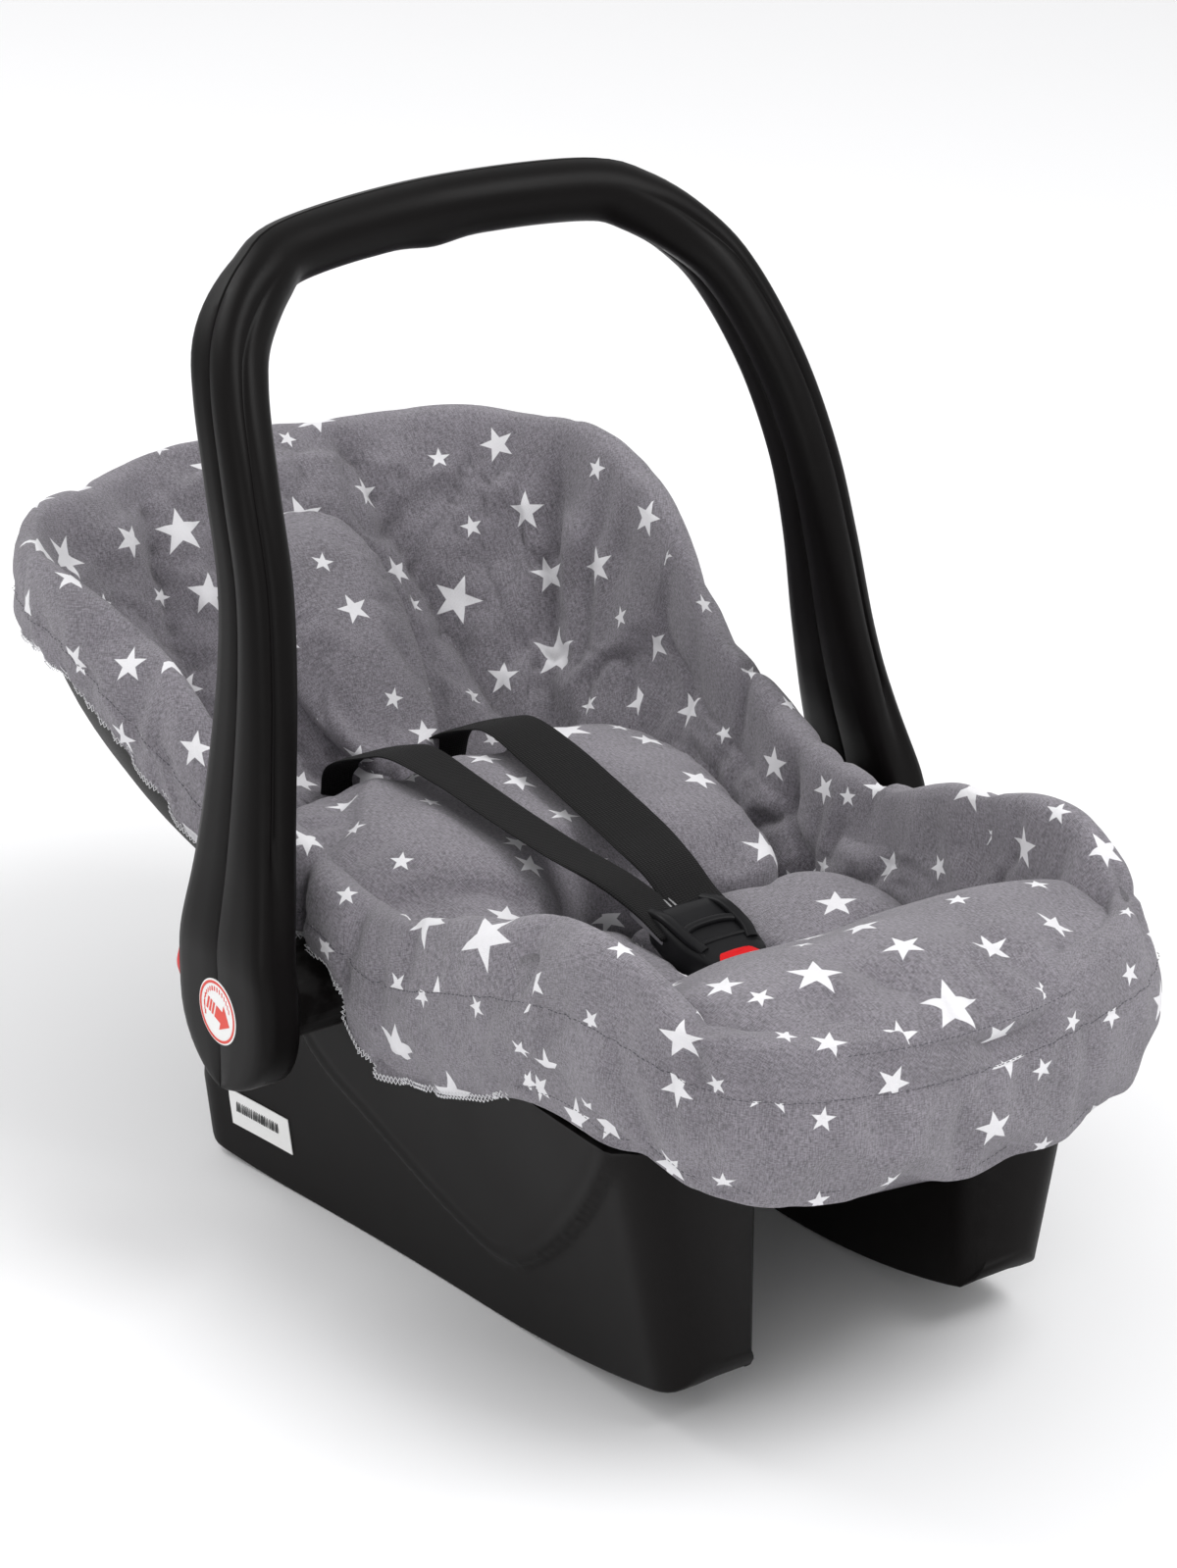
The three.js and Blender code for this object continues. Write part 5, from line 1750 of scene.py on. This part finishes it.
def finishes(scene):
    """The materials, made once from the settings."""
    if FINISH:
        return FINISH
    fabric, shell, harness = scene.carrier_fabric, scene.carrier_shell, scene.carrier_harness
    FINISH["cloth"] = fabric_material("star_cloth", tuple(fabric.colour), tuple(fabric.star))
    FINISH["shell"] = plastic_material("moulded_black", tuple(shell.colour), shell.roughness, scuffs=0.30,
                                       wear=0.30, depth=0.00010)
    FINISH["handle"] = plastic_material("handle_black", tuple(shell.handle), shell.roughness - 0.08,
                                        grain=3000.0, scuffs=0.08, wear=0.2)
    FINISH["buckle"] = plastic_material("buckle_black", (0.012, 0.012, 0.013), 0.34, scuffs=0.1, wear=0.15,
                                        depth=0.00003)
    FINISH["red"] = plastic_material("press_red", tuple(harness.red), 0.25, scuffs=0.1, wear=0.05,
                                     depth=0.00001)
    FINISH["webbing"] = webbing_material("black_webbing", (0.0045, 0.0042, 0.0045))
    FINISH["steel"] = metal_material("brushed_steel", (0.55, 0.55, 0.56))
    FINISH["paper"] = printed_material("label_white", (0.85, 0.85, 0.84))
    FINISH["ink"] = printed_material("label_black", (0.03, 0.03, 0.03))
    FINISH["print_red"] = printed_material("label_red", (0.72, 0.05, 0.03))
    FINISH["white_thread"] = printed_material("white_thread", (0.72, 0.72, 0.74), 0.85)
    FINISH["grey_thread"] = printed_material("grey_thread", (0.075, 0.072, 0.085), 0.85)
    return FINISH


def settle(piece, body, slot, *nodes):
    """Says which body a finished piece rides on and what it replaces; the slot argument, its finish, is not
    used.
    """
    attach(piece, body)
    if nodes:
        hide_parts(*nodes)


def repaint(node, material):
    """Gives a solid that stays showing its procedural material."""
    mesh_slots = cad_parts[node].material_slots
    for place_ in mesh_slots:
        place_.material = material


class CARRIER_OT_shell(bpy.types.Operator):
    """Make the moulded bucket and the two rocker sides"""

    bl_idname = "carrier.shell"
    bl_label = "Bucket and rockers"

    def execute(self, context):
        looks = finishes(context.scene)
        bucket = make_bucket(looks["shell"])
        settle(bucket, "seat", "black_shell", "seat_bucket")
        outer = bowl_grid(-BUCKET_WALL, 120, 24)
        rows, around = outer.shape[:2]
        tree = BVHTree.FromPolygons([tuple(p) for p in outer.reshape(-1, 3)], grid_faces(rows, around))
        for side, where in ((-1, "left"), (1, "right")):
            rocker = make_rocker(side, context.scene.carrier_shell, looks["shell"], tree)
            settle(rocker, "seat", "black_shell", f"rocker_side_{where}")
            repaint(f"pivot_housing_{where}", looks["shell"])
            for k in (1, 2):
                repaint(f"rocker_screw_{where}_{k}", looks["steel"])
        return {"FINISHED"}


class CARRIER_OT_handle(bpy.types.Operator):
    """Make the two halves of the carry handle, its hub labels and its release buttons"""

    bl_idname = "carrier.handle"
    bl_label = "Handle and hubs"

    def execute(self, context):
        looks = finishes(context.scene)
        settle(make_handle_half(True, looks["handle"]), "handle", "black_handle", "handle_front_half")
        settle(make_handle_half(False, looks["handle"]), "handle", "black_handle", "handle_rear_half")
        for side, where in ((-1, "left"), (1, "right")):
            settle(make_label(side, looks["paper"], looks["print_red"]), "handle", "label", f"label_{where}")
            settle(make_release(side, looks["red"]), f"release_{where}", "red_button",
                   f"release_button_{where}")
            repaint(f"pivot_pin_{where}", looks["steel"])
            repaint(f"lock_pin_{where}", looks["steel"])
            turn = np.linspace(math.radians(70), math.radians(250), 17)
            ticks = []
            for k, a in enumerate(turn):
                r = 12.6
                ticks.append(to_frame([(side * (HUB_FACE + 0.38), PIVOT_Y + r * math.sin(a) * 0.98,
                                        PIVOT_Z + r * -math.cos(a))])[0])
            marks = grown(f"label_ticks_{where}", ticks, [], "bars", Narrow=0.0006, Wide=0.0013,
                          Height=0.0026, Seed=4, Material=looks["print_red"])
            settle(marks, "handle", "label")
        return {"FINISHED"}


class CARRIER_OT_cover(bpy.types.Operator):
    """Make the quilted cover with its rolled rim and hanging skirt"""

    bl_idname = "carrier.cover"
    bl_label = "Fabric cover"

    def execute(self, context):
        looks = finishes(context.scene)
        cover = make_cover(context.scene.carrier_fabric, looks["cloth"])
        settle(cover, "seat", "grey_fabric", "cover_head", "cover_foot", "cover_side_left",
               "cover_side_right",
               "bolster_left", "bolster_right", "thigh_pad_left", "thigh_pad_right")
        return {"FINISHED"}


class CARRIER_OT_cushions(bpy.types.Operator):
    """Make the loose cushions and swell them by cloth simulation"""

    bl_idname = "carrier.cushions"
    bl_label = "Cushions"

    def execute(self, context):
        looks = finishes(context.scene)
        nodes = {"back_cushion": ["back_pad"], "lumbar_cushion": ["seat_cushion"],
                 "leg_pad_cushion": ["leg_pad"]}
        for piece in make_cushions(context.scene.carrier_fabric, looks["cloth"]):
            settle(piece, "seat", "grey_fabric", *nodes.get(piece.name, []))
        return {"FINISHED"}


class CARRIER_OT_harness(bpy.types.Operator):
    """Make the shoulder straps, the crotch strap and the buckle with its red button"""

    bl_idname = "carrier.harness"
    bl_label = "Harness"

    def execute(self, context):
        looks = finishes(context.scene)
        straps = make_straps(context.scene.carrier_harness, looks["webbing"])
        for piece, node in zip(straps, ("shoulder_strap_left", "shoulder_strap_right", "crotch_strap")):
            settle(piece, "seat", "webbing", node)
        buckle, button = make_buckle(looks["buckle"], looks["red"])
        settle(buckle, "seat", "black_shell", "buckle_body")
        settle(button, "buckle_press", "red_button", "buckle_button")
        for where in ("left", "right"):
            repaint(f"buckle_tongue_{where}", looks["steel"])
        return {"FINISHED"}


class CARRIER_OT_details(bpy.types.Operator):
    """Lay the stitches and the printed sticker"""

    bl_idname = "carrier.details"
    bl_label = "Stitches and sticker"

    def execute(self, context):
        looks = finishes(context.scene)
        for piece in make_stitches(looks["white_thread"], looks["grey_thread"]):
            settle(piece, "seat", "grey_fabric")
        sticker = make_barcode_label(looks["paper"])
        settle(sticker, "seat", "label", "barcode_sticker")
        rng = np.random.default_rng(8)
        y, places = STICKER["y"] - 15, []
        while y < STICKER["y"] + 19:
            z = STICKER["z"] + 4.0
            x = -float(rocker_wall(np.array(y), np.array(z))) - 0.72
            places.append(to_frame(on_rocker(x, y, z))[0])
            y += rng.uniform(1.1, 1.9)
        bars = grown("sticker_bars", places, [], "bars", Narrow=0.0005, Wide=0.0012, Height=0.0105, Seed=3,
                     Material=looks["ink"])
        settle(bars, "seat", "label")
        return {"FINISHED"}


class CARRIER_OT_stage(bpy.types.Operator):
    """Set the pale floor, the soft lights and the camera"""

    bl_idname = "carrier.stage"
    bl_label = "Stage"

    def execute(self, context):
        settings = context.scene.carrier_stage
        material, n, out = new_material("studio_floor")
        place_ = n.add("ShaderNodeTexCoord").outputs["Object"]
        n.put(out["Base Color"], n.mix(n.noise(place_, 3.0), colour([v * 0.99 for v in settings.floor]),
                                       colour(settings.floor)))
        out["Roughness"].default_value = 0.6
        out["Specular IOR Level"].default_value = 0.2
        mesh = bpy.data.meshes.new("floor")
        mesh.from_pydata([(-9, -9, 0), (9, -9, 0), (9, 9, 0), (-9, 9, 0)], [], [(0, 1, 2, 3)])
        mesh.materials.append(material)
        floor = bpy.data.objects.new("floor", mesh)
        context.scene.collection.objects.link(floor)
        world = bpy.data.worlds.new("studio")
        context.scene.world = world
        world.use_nodes = True
        background = world.node_tree.nodes["Background"]
        background.inputs[0].default_value = (1, 1, 1, 1)
        background.inputs[1].default_value = 0.72
        target = Vector((0, -0.022, 0.24))
        for name, where, power, size in (
            ("key", (0.9, -1.5, 2.9), settings.light, 1.5),
            ("fill", (-2.4, -1.6, 1.5), settings.light * 0.35, 2.0),
            ("rim", (-0.9, 2.2, 2.4), settings.light * 0.6, 1.6),
        ):
            light = bpy.data.lights.new(name, "AREA")
            light.energy = power
            light.size = size
            lamp = bpy.data.objects.new(name, light)
            lamp.location = where
            lamp.rotation_euler = (target - Vector(where)).to_track_quat("-Z", "Y").to_euler()
            context.scene.collection.objects.link(lamp)
        lens = bpy.data.cameras.new("camera")
        lens.lens = 112.57
        lens.sensor_width = 36
        camera = bpy.data.objects.new("camera", lens)
        azimuth, elevation, distance = math.radians(-35), math.radians(24), 2.56
        look_at = Vector((0, -0.0223, 0.238))
        forward = Vector((math.sin(-azimuth), math.cos(azimuth),
                          0)) * math.cos(elevation) - Vector((0, 0, math.sin(elevation)))
        camera.location = look_at - forward * distance
        camera.rotation_euler = forward.to_track_quat("-Z", "Y").to_euler()
        context.scene.collection.objects.link(camera)
        context.scene.camera = camera
        context.scene.view_settings.view_transform = "Standard"
        return {"FINISHED"}


STEPS = (CARRIER_OT_shell, CARRIER_OT_handle, CARRIER_OT_cover, CARRIER_OT_cushions, CARRIER_OT_harness,
         CARRIER_OT_details, CARRIER_OT_stage)


class CARRIER_PT_panel(bpy.types.Panel):
    """Lists the steps that build the carrier"""

    bl_label = "Carrier Seat"
    bl_idname = "CARRIER_PT_panel"
    bl_space_type = "VIEW_3D"
    bl_region_type = "UI"
    bl_category = "Carrier Seat"

    def draw(self, context):
        layout = self.layout
        for step in STEPS:
            layout.operator(step.bl_idname)
        for settings in (context.scene.carrier_fabric, context.scene.carrier_shell,
                         context.scene.carrier_harness,
                         context.scene.carrier_stage):
            box = layout.box()
            for name in settings.__annotations__:
                box.prop(settings, name)


SETTINGS = {"carrier_fabric": CarrierFabric, "carrier_shell": CarrierShell, "carrier_harness": CarrierHarness,
            "carrier_stage": CarrierStage}


def register():
    for kind in (*SETTINGS.values(), *STEPS, CARRIER_PT_panel):
        bpy.utils.register_class(kind)
    for name, kind in SETTINGS.items():
        setattr(bpy.types.Scene, name, bpy.props.PointerProperty(type=kind))


def unregister():
    for name in SETTINGS:
        delattr(bpy.types.Scene, name)
    for kind in reversed((*SETTINGS.values(), *STEPS, CARRIER_PT_panel)):
        bpy.utils.unregister_class(kind)


def plain(box):
    """A box as plain lists of numbers."""
    return [[float(v) for v in corner] for corner in box]


def main():
    """Builds every piece through its operator, in order."""
    register()
    bpy.ops.carrier.shell()
    bpy.ops.carrier.handle()
    bpy.ops.carrier.cover()
    bpy.ops.carrier.cushions()
    bpy.ops.carrier.harness()
    bpy.ops.carrier.details()
    bpy.ops.carrier.stage()


if __name__ == "__main__":
    main()
